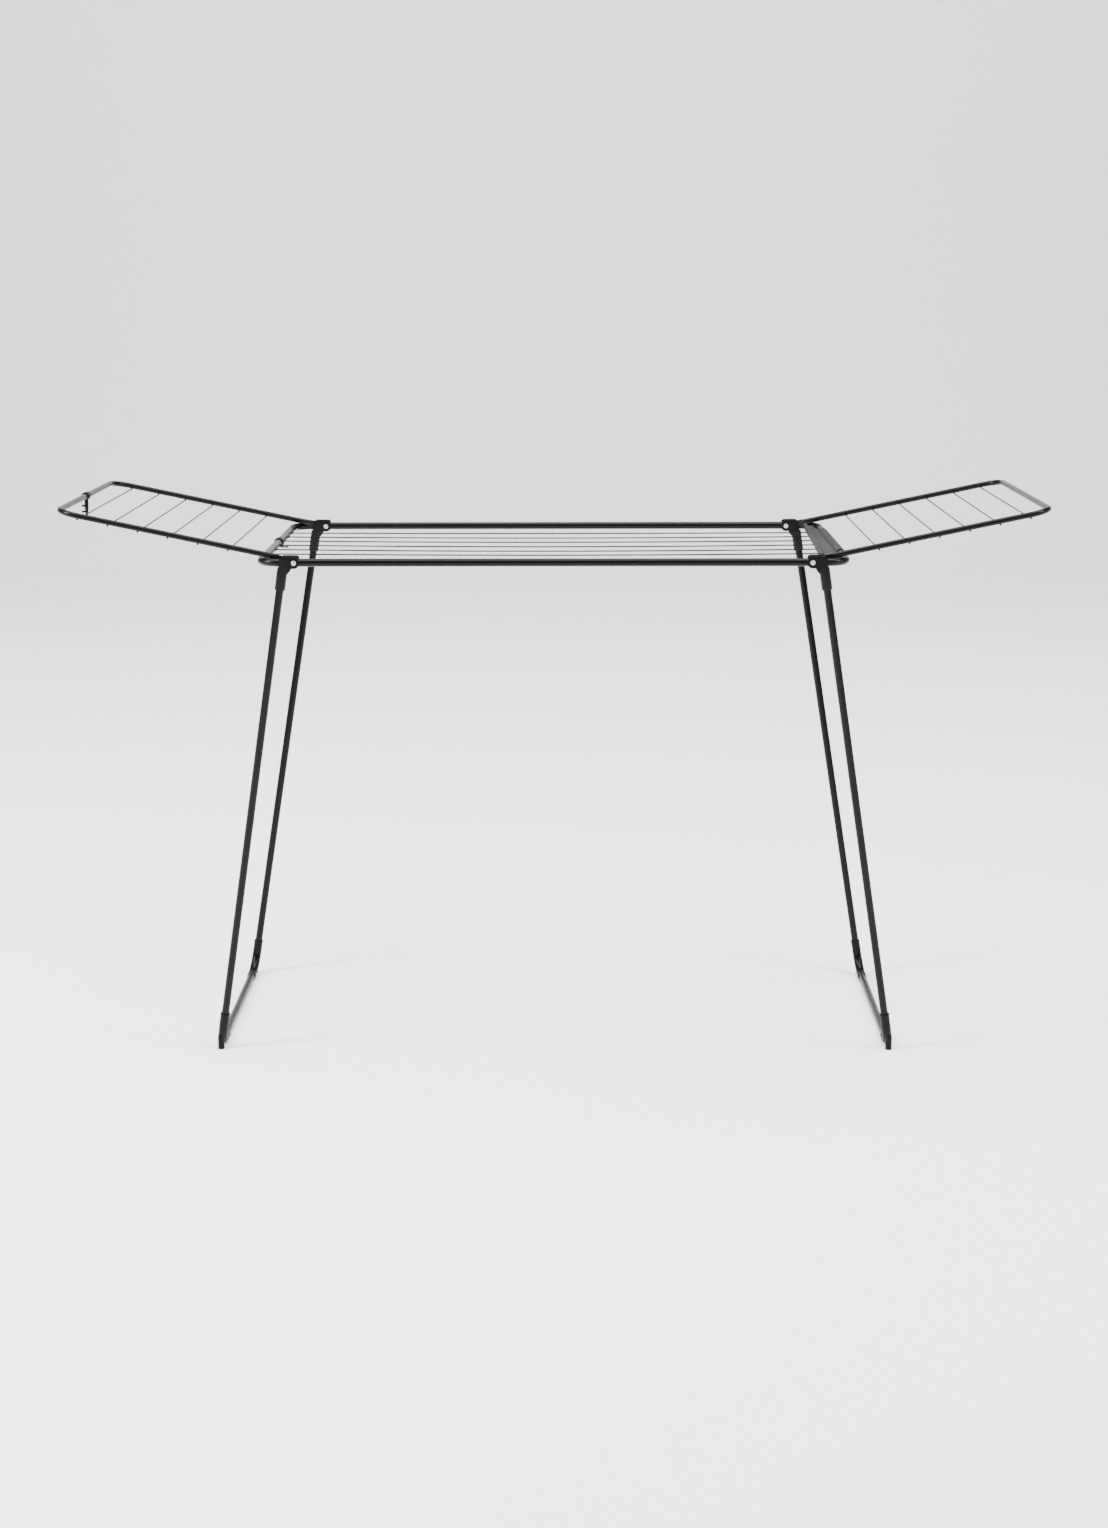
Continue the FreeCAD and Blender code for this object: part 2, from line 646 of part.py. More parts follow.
def wing_run(name, radius, root):
    """Straight sides, bends and end of one wing tube, as one swept round bar.

    The bar runs in the wing's plane from one root round both bends to the
    other root. The radius and the distance of the roots from the hinge are
    numbers in millimetres.
    """
    tab_outer = value("frame_half_depth") - value("frame_tube") / 2 - value("slide_gap")
    half = tab_outer - value("tab_thickness") / 2 - value("wing_inset")
    length = value("wing_length")
    bend_radius = value("wing_bend")
    rise = value("wing_rise")
    inset = bend_radius * (1 - 0.5 ** 0.5)
    start = FreeCAD.Vector(-root, half, rise)
    edges = []
    for x, y, corner_x, corner_y, next_x, next_y in (
        (bend_radius - length, half, inset - length, half - inset, -length, half - bend_radius),
        (-length, bend_radius - half, inset - length, inset - half, bend_radius - length, -half),
    ):
        tangent = FreeCAD.Vector(x, y, rise)
        edges.append(Part.LineSegment(start, tangent).toShape())
        middle = FreeCAD.Vector(corner_x, corner_y, rise)
        start = FreeCAD.Vector(next_x, next_y, rise)
        edges.append(Part.Arc(tangent, middle, start).toShape())
    edges.append(Part.LineSegment(start, FreeCAD.Vector(-root, -half, rise)).toShape())
    circle = Part.makeCircle(radius, FreeCAD.Vector(-root, half, rise), FreeCAD.Vector(1, 0, 0))
    bar = doc.addObject("Part::Feature", name)
    bar.Shape = Part.Wire(edges).makePipeShell([Part.Wire(circle)], True, False)
    return bar


def wing_root(y_sign):
    """Flattened end of a side tube: a taper to an oval, then a drilled tab."""
    start = f"-({size('tab_length')} + {size('tab_taper')})"
    round_end = primitive(
        "Circle", "root_circle", {"Radius": WING_R},
        (start, f"{y_sign}{WING_DEPTH}", size("wing_rise")), ALONG_X,
    )
    oval = primitive(
        "Ellipse", "root_oval",
        {"MajorRadius": f"{size('tab_width')} / 2", "MinorRadius": f"{size('tab_thickness')} / 2"},
        (f"-{size('tab_length')}", f"{y_sign}{TAB_MIDDLE}", "0"), ALONG_X,
    )
    taper = doc.addObject("Part::Loft", "root_taper")
    taper.Sections = [round_end, oval]
    taper.Solid = True
    taper.Ruled = True
    low, high = span(f"({TAB_OUTER} - {size('tab_thickness')})", TAB_OUTER, y_sign)
    half_width = f"({size('tab_width')} / 2)"
    tab = box("root_tab", (f"-{size('tab_length')} - 1", low, f"-{half_width}"), ("0", high, half_width))
    eye = cylinder("root_eye", half_width, size("tab_thickness"), ("0", low, "0"), ALONG_Y)
    return [taper, tab, eye]


def wing_tube(side):
    """One wing tube with its two drilled tabs."""
    root = value("tab_length") + value("tab_taper")
    wall = value("wing_wall")
    skin = wing_run("wing_skin", value("wing_tube") / 2, root)
    bore = wing_run("wing_bore", value("wing_tube") / 2 - wall, root + wall)
    hollow = cut("wing_hollow", skin, bore)
    pieces = [hollow]
    for y_sign in ("", "-"):
        pieces += wing_root(y_sign)
    drill = cylinder(
        "tab_drill", f"({size('rivet_shank')} / 2 + {size('rivet_play')})", f"4 * {DEPTH}",
        ("0", f"-2 * {DEPTH}", "0"), ALONG_Y,
    )
    tube = cut("wing_tube", fuse("wing_body", pieces), drill)
    node(tube, f"{side}_wing_tube", *at_hinge(side, WING_TILT))


def wing_wires(side):
    """Cross wires welded under the wing's side tubes."""
    drop = f"({size('wing_rise')} - {WING_R} - {WIRE_R} - {size('weld_gap')})"
    half = f"({WING_DEPTH} + {size('wing_wire_overhang')})"
    row = f"({size('wing_length')} - {size('wing_wire_first')} - {size('wing_wire_last')})"
    for number in range(1, WING_WIRES + 1):
        x = f"-{size('wing_wire_first')} - {number - 1} * {row} / {WING_WIRES - 1}"
        wire = cylinder("wing_wire", WIRE_R, f"2 * {half}", (x, f"-{half}", drop), ALONG_Y)
        node(grouped("welded_wire", [wire]), f"{side}_wing_wire_{number}", *at_hinge(side, WING_TILT))


def wing_catch():
    """Clip that swings on the left wing's end tube, with a blade and two pegs."""
    inner = f"({WING_R} + {size('catch_play')})"
    outer = f"({inner} + {size('catch_wall')})"
    width = size("catch_width")
    blade_depth = size("catch_blade_depth")
    blade = size("catch_blade")
    length = size("catch_length")
    start = ("0", f"-{width} / 2", "0")
    ring = cylinder("catch_ring", outer, width, start, ALONG_Y)
    bore = cylinder("catch_bore", inner, width, start, ALONG_Y)
    strap = box(
        "catch_blade", (f"-{blade} / 2", f"-{blade_depth} / 2", f"{blade_depth} / 2 - {length}"),
        (f"{blade} / 2", f"{blade_depth} / 2", "0"),
    )
    tip = cylinder(
        "catch_tip", f"{blade_depth} / 2", blade,
        (f"-{blade} / 2", "0", f"{blade_depth} / 2 - {length}"), ALONG_X,
    )
    pieces = [ring, strap, tip]
    for share in (1, 2):
        peg_z = f"-{outer} - {share} * ({length} - {outer}) / 3"
        peg_at = (f"-{blade} / 2 - {size('catch_peg_length')}", "0", peg_z)
        peg_length = f"{size('catch_peg_length')} + {blade} / 2"
        pieces.append(cylinder("catch_peg", f"{size('catch_peg')} / 2", peg_length, peg_at, ALONG_X))
    run = size("wing_length")
    rise = size("wing_rise")
    tip_x = f"(-{REACH} - {run} * cos({WING_TILT}) + {rise} * sin({WING_TILT}))"
    tip_z = f"({HEIGHT} + {run} * sin({WING_TILT}) + {rise} * cos({WING_TILT}))"
    node(cut("catch", fuse("catch_body", pieces), bore), "wing_catch", (tip_x, "0", tip_z))


# ---------------------------------------------------------------------- build

centre_frame_tube()
centre_wires()
hinge_rivets()
end_panel()
frame_clip()
for side in ("left", "right"):
    leg_frame(side)
    wing_tube(side)
    wing_wires(side)
    for end in ("front", "back"):
        leg_bracket(side, end)
        foot(side, end)
wing_catch()
doc.recompute()

for item in doc.Objects:
    if "Invalid" in item.State or "Error" in item.State:
        raise RuntimeError(f"{item.Name} ({item.Label}) could not be built: {item.State}")
for item in NODES:
    shape = item.Shape
    if shape.isNull() or not shape.isValid() or not shape.Solids:
        raise RuntimeError(f"{item.Label} is not a valid solid")

os.makedirs("parts", exist_ok=True)
for item in NODES:
    item.Shape.exportStep(f"parts/{item.Label}.step")
    solids = len(item.Shape.Solids)
    print(f"{item.Label}: {solids} solid(s), {item.Shape.Volume / 1000:.2f} cm3")
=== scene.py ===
"""Looks of a free-standing folding clothes airer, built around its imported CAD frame.

Lengths in the size classes are millimetres; everything that reaches a mesh is metres.
Places are read from the CAD nodes and joints. Legs, wings, brackets and feet are drawn
about the left hinge line, local -X pointing outboard, and turned half a turn about Z
for the right end.
"""

import sys

import json
import logging
import math
from dataclasses import dataclass
from enum import Enum

import bmesh
import bpy
import numpy as np
from mathutils import Matrix, Vector


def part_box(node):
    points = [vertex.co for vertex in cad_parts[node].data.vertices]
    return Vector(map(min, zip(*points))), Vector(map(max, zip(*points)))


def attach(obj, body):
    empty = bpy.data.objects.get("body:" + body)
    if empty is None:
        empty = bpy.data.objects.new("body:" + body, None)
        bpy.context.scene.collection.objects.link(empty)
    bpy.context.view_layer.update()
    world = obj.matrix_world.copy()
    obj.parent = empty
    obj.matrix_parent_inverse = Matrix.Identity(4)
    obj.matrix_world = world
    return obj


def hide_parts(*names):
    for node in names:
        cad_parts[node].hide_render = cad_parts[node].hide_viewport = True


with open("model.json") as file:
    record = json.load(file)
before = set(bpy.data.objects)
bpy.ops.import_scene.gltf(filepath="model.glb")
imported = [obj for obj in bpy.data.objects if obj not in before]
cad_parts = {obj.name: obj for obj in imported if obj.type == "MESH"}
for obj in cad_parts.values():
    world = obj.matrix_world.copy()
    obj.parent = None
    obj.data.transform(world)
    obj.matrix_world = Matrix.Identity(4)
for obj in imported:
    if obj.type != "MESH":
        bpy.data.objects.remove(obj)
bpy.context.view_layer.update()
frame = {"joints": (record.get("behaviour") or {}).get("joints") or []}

log = logging.getLogger("airer")
MM = 0.001
Array = np.ndarray

# Grain noise is scaled and shifted so that its troughs clamp to the dark tone.
GRAIN_GAIN = 0.8
GRAIN_OFFSET = -0.15
# Range of the grain and cloud product that runs from the dark tone to the light one.
TONE_RANGE = (0.02, 0.3)
# Range in which nearly all of a noise texture's values lie.
NOISE_RANGE = (0.3, 0.7)
# Longest step along a straight tube, and the softest visible edge, in millimetres.
TUBE_STEP = 25
SOFT_EDGE = 0.45


# ------------------------------------------------------------------ materials


def linear(code: str) -> tuple[float, float, float, float]:
    """Turn an sRGB hex colour into linear light.

    Args:
        code: Colour as six hex digits.

    Returns:
        Linear red, green, blue and full alpha.
    """
    srgb = np.array([int(code[i : i + 2], 16) / 255 for i in (0, 2, 4)])
    value = np.where(srgb <= 0.04045, srgb / 12.92, ((srgb + 0.055) / 1.055) ** 2.4)
    return (float(value[0]), float(value[1]), float(value[2]), 1.0)


def add_node(
    tree: bpy.types.NodeTree, kind: str, settings: dict[str, object], inputs: dict[str, object]
) -> bpy.types.Node:
    """Add one shader node with its settings, input values and links.

    Args:
        tree: Tree that takes the node.
        kind: Blender's type name for the node.
        settings: Attributes of the node.
        inputs: Input names with either a value or the socket to link from.

    Returns:
        The new node.
    """
    item = tree.nodes.new(kind)
    for key, value in settings.items():
        setattr(item, key, value)
    for key, value in inputs.items():
        if isinstance(value, bpy.types.NodeSocket):
            tree.links.new(value, item.inputs[key])
        else:
            item.inputs[key].default_value = value
    return item


@dataclass(frozen=True)
class Finish:
    """One surface finish: two tones, roughness with its spread, and its grain.

    grain is the width of one bump in millimetres and relief its height; cloud is the
    width of the slow change between the two tones. sheen is the shader's specular level,
    below its usual 0.5 where fine pitting scatters the shine.
    """

    name: str
    slot: str
    dark: str
    light: str
    roughness: float
    spread: float
    grain: float
    relief: float
    cloud: float
    sheen: float = 0.25
    metallic: float = 0.0
    ior: float = 1.5

    def material(self) -> bpy.types.Material:
        """Make the node material, or find the one already made.

        Returns:
            The material.
        """
        found = bpy.data.materials.get(self.name)
        if found:
            return found
        made = bpy.data.materials.new(self.name)
        made.use_nodes = True
        tree = made.node_tree
        shader = tree.nodes["Principled BSDF"]
        shader.inputs["Metallic"].default_value = self.metallic
        shader.inputs["IOR"].default_value = self.ior
        shader.inputs["Specular IOR Level"].default_value = self.sheen
        place = add_node(tree, "ShaderNodeTexCoord", {}, {}).outputs["Object"]
        cloud = add_node(
            tree, "ShaderNodeTexNoise", {},
            {"Vector": place, "Scale": 1 / (self.cloud * MM), "Detail": 3.0, "Roughness": 0.6},
        )
        grain = add_node(
            tree, "ShaderNodeTexNoise", {},
            {"Vector": place, "Scale": 1 / (self.grain * MM), "Detail": 2.0, "Roughness": 0.5},
        )
        blend = add_node(
            tree, "ShaderNodeMath", {"operation": "MULTIPLY_ADD", "use_clamp": True},
            {0: grain.outputs["Fac"], 1: GRAIN_GAIN, 2: GRAIN_OFFSET},
        )
        both = add_node(
            tree, "ShaderNodeMath", {"operation": "MULTIPLY"},
            {0: blend.outputs[0], 1: cloud.outputs["Fac"]},
        )
        share = add_node(
            tree, "ShaderNodeMapRange", {},
            {"Value": both.outputs[0], "From Min": TONE_RANGE[0], "From Max": TONE_RANGE[1]},
        )
        tone = add_node(
            tree, "ShaderNodeMix", {"data_type": "RGBA"},
            {"Factor": share.outputs["Result"]},
        )
        tone.inputs[6].default_value = linear(self.dark)
        tone.inputs[7].default_value = linear(self.light)
        tree.links.new(tone.outputs[2], shader.inputs["Base Color"])
        gloss = add_node(
            tree, "ShaderNodeMapRange", {},
            {
                "Value": cloud.outputs["Fac"], "From Min": NOISE_RANGE[0], "From Max": NOISE_RANGE[1],
                "To Min": self.roughness - self.spread, "To Max": self.roughness + self.spread,
            },
        )
        tree.links.new(gloss.outputs["Result"], shader.inputs["Roughness"])
        bump = add_node(
            tree, "ShaderNodeBump", {},
            {"Height": grain.outputs["Fac"], "Strength": 1.0, "Distance": self.relief * MM},
        )
        tree.links.new(bump.outputs["Normal"], shader.inputs["Normal"])
        return made


class Finishes(Enum):
    """Every finish on the airer."""

    # Black polyester powder coat, baked: satin, with a faint orange peel.
    TUBE_COAT = Finish(
        "Powder coated steel tube", "tube_coat", "030303", "050505", 0.28, 0.02, 1.0, 0.003, 14, 0.14
    )
    # The same powder on drawn wire: a thinner film, so duller, with the drawing marks felt through it.
    WIRE_COAT = Finish(
        "Powder coated steel wire", "wire_coat", "030303", "060606", 0.46, 0.05, 0.6, 0.012, 10, 0.06
    )
    # Glass-filled polypropylene from a spark-eroded mould: matt, finely pitted. The pits are
    # drawn at 0.9 mm, about three times their real width, so that they don't average out.
    FITTING = Finish(
        "Moulded black polypropylene", "fitting_plastic", "040404", "0a0a0a", 0.48, 0.05, 0.9, 0.02, 12, 0.12
    )
    # ABS with a coarse moulded grain: charcoal, mottled where the grain wore in the mould. The
    # grain is drawn at 1.4 mm, about three times its real width, for the same reason.
    PANEL = Finish(
        "Moulded grey ABS", "panel_plastic", "060606", "202020", 0.5, 0.07, 1.4, 0.05, 9, 0.08
    )
    # Zinc plated steel, cold headed: bright, with a slightly rough flow.
    RIVET = Finish(
        "Zinc plated steel rivet", "rivet_steel", "a9aaab", "d0d1d2", 0.36, 0.06, 0.6, 0.006, 4, 0.5, 1.0
    )


# ------------------------------------------------------------------- surfaces


@dataclass
class Skin:
    """Points, quads and flat caps of one closed surface, in metres."""

    points: Array
    quads: Array
    caps: list[list[int]]


def loft(rings: Array, wrap: bool = False) -> Skin:
    """Join a row of closed rings with quads.

    Formula: face (i, j) uses points (i, j), (i, j+1), (i+1, j+1) and (i+1, j), j wrapping
    round; a row that doesn't wrap is closed by one flat face at each end.

    Args:
        rings: Points as (rings, points in a ring, 3).
        wrap: Whether the last ring joins the first.

    Returns:
        The closed surface.
    """
    rows, count = rings.shape[:2]
    index = np.arange(rows * count).reshape(rows, count)
    if wrap:
        index = np.vstack([index, index[:1]])
    here, after = index[:-1], index[1:]
    quads = np.stack([here, np.roll(here, -1, 1), np.roll(after, -1, 1), after], -1).reshape(-1, 4)
    caps = [] if wrap else [index[0][::-1].tolist(), index[-1].tolist()]
    return Skin(rings.reshape(-1, 3), quads, caps)


def unit(vectors: Array) -> Array:
    """Scale vectors to length one."""
    return vectors / np.linalg.norm(vectors, axis=-1, keepdims=True)


def sweep(path: Array, across: Array, section: Array, wrap: bool = False) -> Skin:
    """Carry a flat section along a path that lies in a plane.

    Formula: point = path(i) + s * side(i) + t * across, with side(i) = across x tangent(i).

    Args:
        path: Centres as (n, 3).
        across: Unit normal of the path's plane.
        section: (s, t) pairs as (m, 2), or (n, m, 2) where the section changes.
        wrap: Whether the path closes on itself.

    Returns:
        The swept surface.
    """
    if wrap:
        tangent = unit(np.roll(path, -1, 0) - np.roll(path, 1, 0))
    else:
        tangent = unit(np.gradient(path, axis=0))
    side = unit(np.cross(across, tangent))[:, None]
    section = np.broadcast_to(section, (len(path),) + section.shape[-2:])
    return loft(path[:, None] + section[..., :1] * side + section[..., 1:] * across, wrap)


def turned(profile: Array, origin: Array, axis: Array, count: int = 32, wrap: bool = False) -> Skin:
    """Turn a profile about an axis.

    Formula: point = origin + along * axis + radius * (cos u * first + sin u * second).

    Args:
        profile: (radius, along) pairs.
        origin: Point on the axis.
        axis: Unit direction of the axis.
        count: Points round the axis.
        wrap: Whether the profile is a closed loop.

    Returns:
        The turned surface.
    """
    first = unit(np.cross(axis, [0.3, 0.9, 0.31]))
    second = np.cross(axis, first)
    angle = np.linspace(0, 2 * np.pi, count, endpoint=False)
    ring = np.cos(angle)[:, None] * first + np.sin(angle)[:, None] * second
    rings = origin + profile[:, 1, None, None] * axis + profile[:, 0, None, None] * ring
    return loft(rings, wrap)


def rounded(corners: Array, radii: Array, wrap: bool = False, steps: int = 12) -> Array:
    """Round the corners of a polyline with arcs.

    Formula: at a corner turning by a, the arc of radius r starts r * tan(a / 2) before it
    and its points are centre + r * (sin v * ahead - cos v * inward), v from 0 to a.

    Args:
        corners: Corners as (n, 3).
        radii: Radius at each corner; 0 keeps it sharp. Ends of an open line are kept.
        wrap: Whether the line is closed.
        steps: Pieces in each arc.

    Returns:
        Points of the rounded line.
    """
    parts = []
    count = len(corners)
    for i in range(count):
        at = corners[i]
        if (not wrap and i in (0, count - 1)) or radii[i] == 0:
            parts.append(at[None])
            continue
        ahead = unit(at - corners[i - 1])
        onward = unit(corners[(i + 1) % count] - at)
        turn = math.acos(float(np.clip(ahead @ onward, -1, 1)))
        inward = unit(onward - ahead * (ahead @ onward))
        centre = at - ahead * radii[i] * math.tan(turn / 2) + inward * radii[i]
        v = np.linspace(0, turn, steps + 1)[:, None]
        parts.append(centre + radii[i] * (np.sin(v) * ahead - np.cos(v) * inward))
    return np.vstack(parts)


def spaced(line: Array, gap: float, wrap: bool = False) -> Array:
    """Add points to a polyline so that no two neighbours are further apart than gap.

    Args:
        line: Points as (n, k).
        gap: Longest step, in the line's units.
        wrap: Whether the line is closed.

    Returns:
        The line with its own points kept.
    """
    ends = np.vstack([line, line[:1]]) if wrap else line
    parts = []
    for start, end in zip(ends[:-1], ends[1:]):
        pieces = max(1, math.ceil(float(np.linalg.norm(end - start)) / gap))
        share = np.arange(pieces)[:, None] / pieces
        parts.append(start + (end - start) * share)
    return np.vstack(parts if wrap else parts + [ends[-1:]])


def oval(half_s: Array, half_t: Array, power: Array, count: int = 32) -> Array:
    """Sections between an ellipse and a rounded rectangle.

    Formula: s = a * sign(cos u) * |cos u|^(2/p) and t = b * sign(sin u) * |sin u|^(2/p).

    Args:
        half_s: Half width along s for each section.
        half_t: Half width along t for each section.
        power: p for each section; 2 is an ellipse.
        count: Points in a section.

    Returns:
        Sections as (n, count, 2).
    """
    u = np.linspace(0, 2 * np.pi, count, endpoint=False)
    bend = 2 / np.asarray(power, float)[:, None]
    s = np.asarray(half_s)[:, None] * np.sign(np.cos(u)) * np.abs(np.cos(u)) ** bend
    t = np.asarray(half_t)[:, None] * np.sign(np.sin(u)) * np.abs(np.sin(u)) ** bend
    return np.stack([s, t], -1)


def circle(radius: float, count: int = 32) -> Array:
    """Round section, as (count, 2)."""
    return oval(np.array([radius]), np.array([radius]), np.array([2.0]), count)[0]


def inset(outline: Array, amount: float) -> Array:
    """Move a closed outline, drawn anticlockwise, inwards along its own normals."""
    along = unit(np.roll(outline, -1, 0) - np.roll(outline, 1, 0))
    return outline + amount * np.stack([-along[:, 1], along[:, 0]], -1)


def slab(outline: Array, low: float, high: float, edge: float) -> Skin:
    """Flat slab with softened edges, its outline in X and Z and its thickness along Y.

    Formula: rings at low, low + edge, high - edge and high, the outer two inset by edge.

    Args:
        outline: Anticlockwise (x, z) pairs.
        low: Y of one face.
        high: Y of the other face.
        edge: Width of the softened edge.

    Returns:
        The slab.
    """
    rings = []
    for y, amount in (
        (low, edge), (low + 0.3 * edge, 0.3 * edge), (low + edge, 0.0),
        (high - edge, 0.0), (high - 0.3 * edge, 0.3 * edge), (high, edge),
    ):
        flat = inset(outline, amount)
        rings.append(np.stack([flat[:, 0], np.full(len(flat), y), flat[:, 1]], -1))
    return loft(np.array(rings))


def cheek(outline: Array, back: float, face: float, hole: float, recess: float, depth: float) -> Skin:
    """Slab with a hole at the origin and a round recess about it in one face.

    Formula: rings run round the hole at the recess floor, out to the recess wall, up it,
    out to the outline, over both softened edges and back to the hole on the other face.
    A ring's point has the polar angle of the outline's point.

    Args:
        outline: Anticlockwise (x, z) pairs that go once round the origin.
        back: Y of the plain face.
        face: Y of the face with the recess.
        hole: Radius of the hole.
        recess: Radius of the recess.
        depth: Depth of the recess.

    Returns:
        The cheek.
    """
    edge = SOFT_EDGE * MM
    out = math.copysign(1.0, face - back)
    angle = np.arctan2(outline[:, 1], outline[:, 0])
    round_one = np.stack([np.cos(angle), np.sin(angle)], -1)
    floor = face - out * depth
    rows = (
        (round_one * hole, floor), (round_one * recess, floor),
        (round_one * recess, face - out * 0.2 * MM), (round_one * (recess + 0.25 * MM), face),
        (inset(outline, edge), face), (inset(outline, 0.3 * edge), face - out * 0.3 * edge),
        (outline, face - out * edge), (outline, back + out * edge),
        (inset(outline, 0.3 * edge), back + out * 0.3 * edge), (inset(outline, edge), back),
        (round_one * hole, back),
    )
    rings = [np.stack([flat[:, 0], np.full(len(flat), y), flat[:, 1]], -1) for flat, y in rows]
    return loft(np.array(rings), wrap=True)


# --------------------------------------------------------------------- frames


@dataclass(frozen=True)
class Place:
    """Local frame of a sub-assembly: an origin and three unit directions."""

    origin: Array
    x: Array
    y: Array
    z: Array

    def carry(self, local: Array) -> Array:
        """Carry (n, 3) points from this frame to the airer's."""
        return self.origin + local[:, :1] * self.x + local[:, 1:2] * self.y + local[:, 2:] * self.z

    def put(self, skin: Skin) -> Skin:
        """Carry a surface from this frame to the airer's."""
        return Skin(self.carry(skin.points), skin.quads, skin.caps)

    def leant(self, angle: float) -> "Place":
        """This frame turned about its own Y by an angle in radians."""
        x = math.cos(angle) * self.x - math.sin(angle) * self.z
        z = math.sin(angle) * self.x + math.cos(angle) * self.z
        return Place(self.origin, x, self.y, z)


WORLD = Place(np.zeros(3), np.array([1.0, 0, 0]), np.array([0, 1.0, 0]), np.array([0, 0, 1.0]))


class Side(Enum):
    """The two ends of the airer; the value is the sign of the local axes."""

    LEFT = 1.0
    RIGHT = -1.0

    @property
    def word(self) -> str:
        """Name used in CAD nodes and bodies."""
        return self.name.lower()

    def at_hinge(self) -> Place:
        """Frame on this side's hinge line, read from its leg joint."""
        joint = next(j for j in frame["joints"] if j["name"] == f"{self.word}_leg_fold")
        sign = self.value
        return Place(
            np.array(joint["pos_m"], float), np.array([sign, 0, 0]), np.array([0, sign, 0]), WORLD.z
        )

    def row(self, end: str) -> float:
        """Sign of local Y at the front or back end."""
        return -self.value if end == "front" else self.value


@dataclass(frozen=True)
class HingeSizes:
    """Layers across the hinge and the outline of the bracket, in millimetres."""

    frame_tube: float = 14.0
    slide: float = 0.3
    cheek: float = 2.4
    tab: float = 2.4
    ear: float = 10.0
    recess: float = 6.0
    recess_depth: float = 0.9
    shank: float = 2.5
    head: float = 4.35
    head_height: float = 1.8
    dimple: float = 1.2
    leg_offset: float = 19.0
    socket: float = 9.35
    socket_start: float = 13.0
    socket_end: float = 53.0
    leg_radius: float = 7.0

    @property
    def tube_y(self) -> float:
        """Y of the centre frame's long tube, in millimetres, from its CAD node."""
        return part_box("centre_frame_tube")[1].y / MM - self.frame_tube / 2

    @property
    def tab_y(self) -> float:
        """Y of the middle of a wing's tab."""
        return self.tube_y - self.frame_tube / 2 - self.slide - self.tab / 2

    @property
    def inner(self) -> tuple[float, float]:
        """Y of the inner cheek's inner and outer faces."""
        outer = self.tab_y - self.tab / 2 - self.slide
        return outer - self.cheek, outer

    @property
    def outer(self) -> tuple[float, float]:
        """Y of the outer cheek's inner and outer faces."""
        inner = self.tube_y + self.frame_tube / 2 + self.slide
        return inner, inner + self.cheek


HINGE = HingeSizes()


# ------------------------------------------------------------------ assembly


class SubAssembly:
    """A group of pieces that ride on one CAD body."""

    def __init__(self, body: str) -> None:
        """Remember the CAD body that the pieces ride on."""
        self.body = body

    def piece(
        self, name: str, skins: list[Skin], finish: Finishes, nodes: list[str], crease: float = 35
    ) -> None:
        """Make one finished piece out of closed surfaces.

        Args:
            name: Name of the object.
            skins: Its surfaces, in the airer's frame.
            finish: Its finish.
            nodes: CAD nodes it stands for.
            crease: Angle in degrees from which an edge is shaded sharp.
        """
        points = np.vstack([s.points for s in skins])
        start = np.cumsum([0] + [len(s.points) for s in skins])
        faces: list[list[int]] = []
        for offset, skin in zip(start, skins):
            faces += (skin.quads + offset).tolist()
            faces += [[i + int(offset) for i in cap] for cap in skin.caps]
        mesh = bpy.data.meshes.new(name)
        mesh.from_pydata(points.tolist(), [], faces)
        work = bmesh.new()
        work.from_mesh(mesh)
        bmesh.ops.remove_doubles(work, verts=work.verts, dist=1e-7)
        bmesh.ops.recalc_face_normals(work, faces=work.faces)
        work.to_mesh(mesh)
        work.free()
        mesh.shade_smooth()
        mesh.set_sharp_from_angle(angle=math.radians(crease))
        mesh.materials.append(finish.value.material())
        item = bpy.data.objects.new(name, mesh)
        bpy.context.scene.collection.objects.link(item)
        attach(item, self.body)
        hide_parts(*nodes)
        log.info("%s on %s: %d faces", name, self.body, len(mesh.polygons))


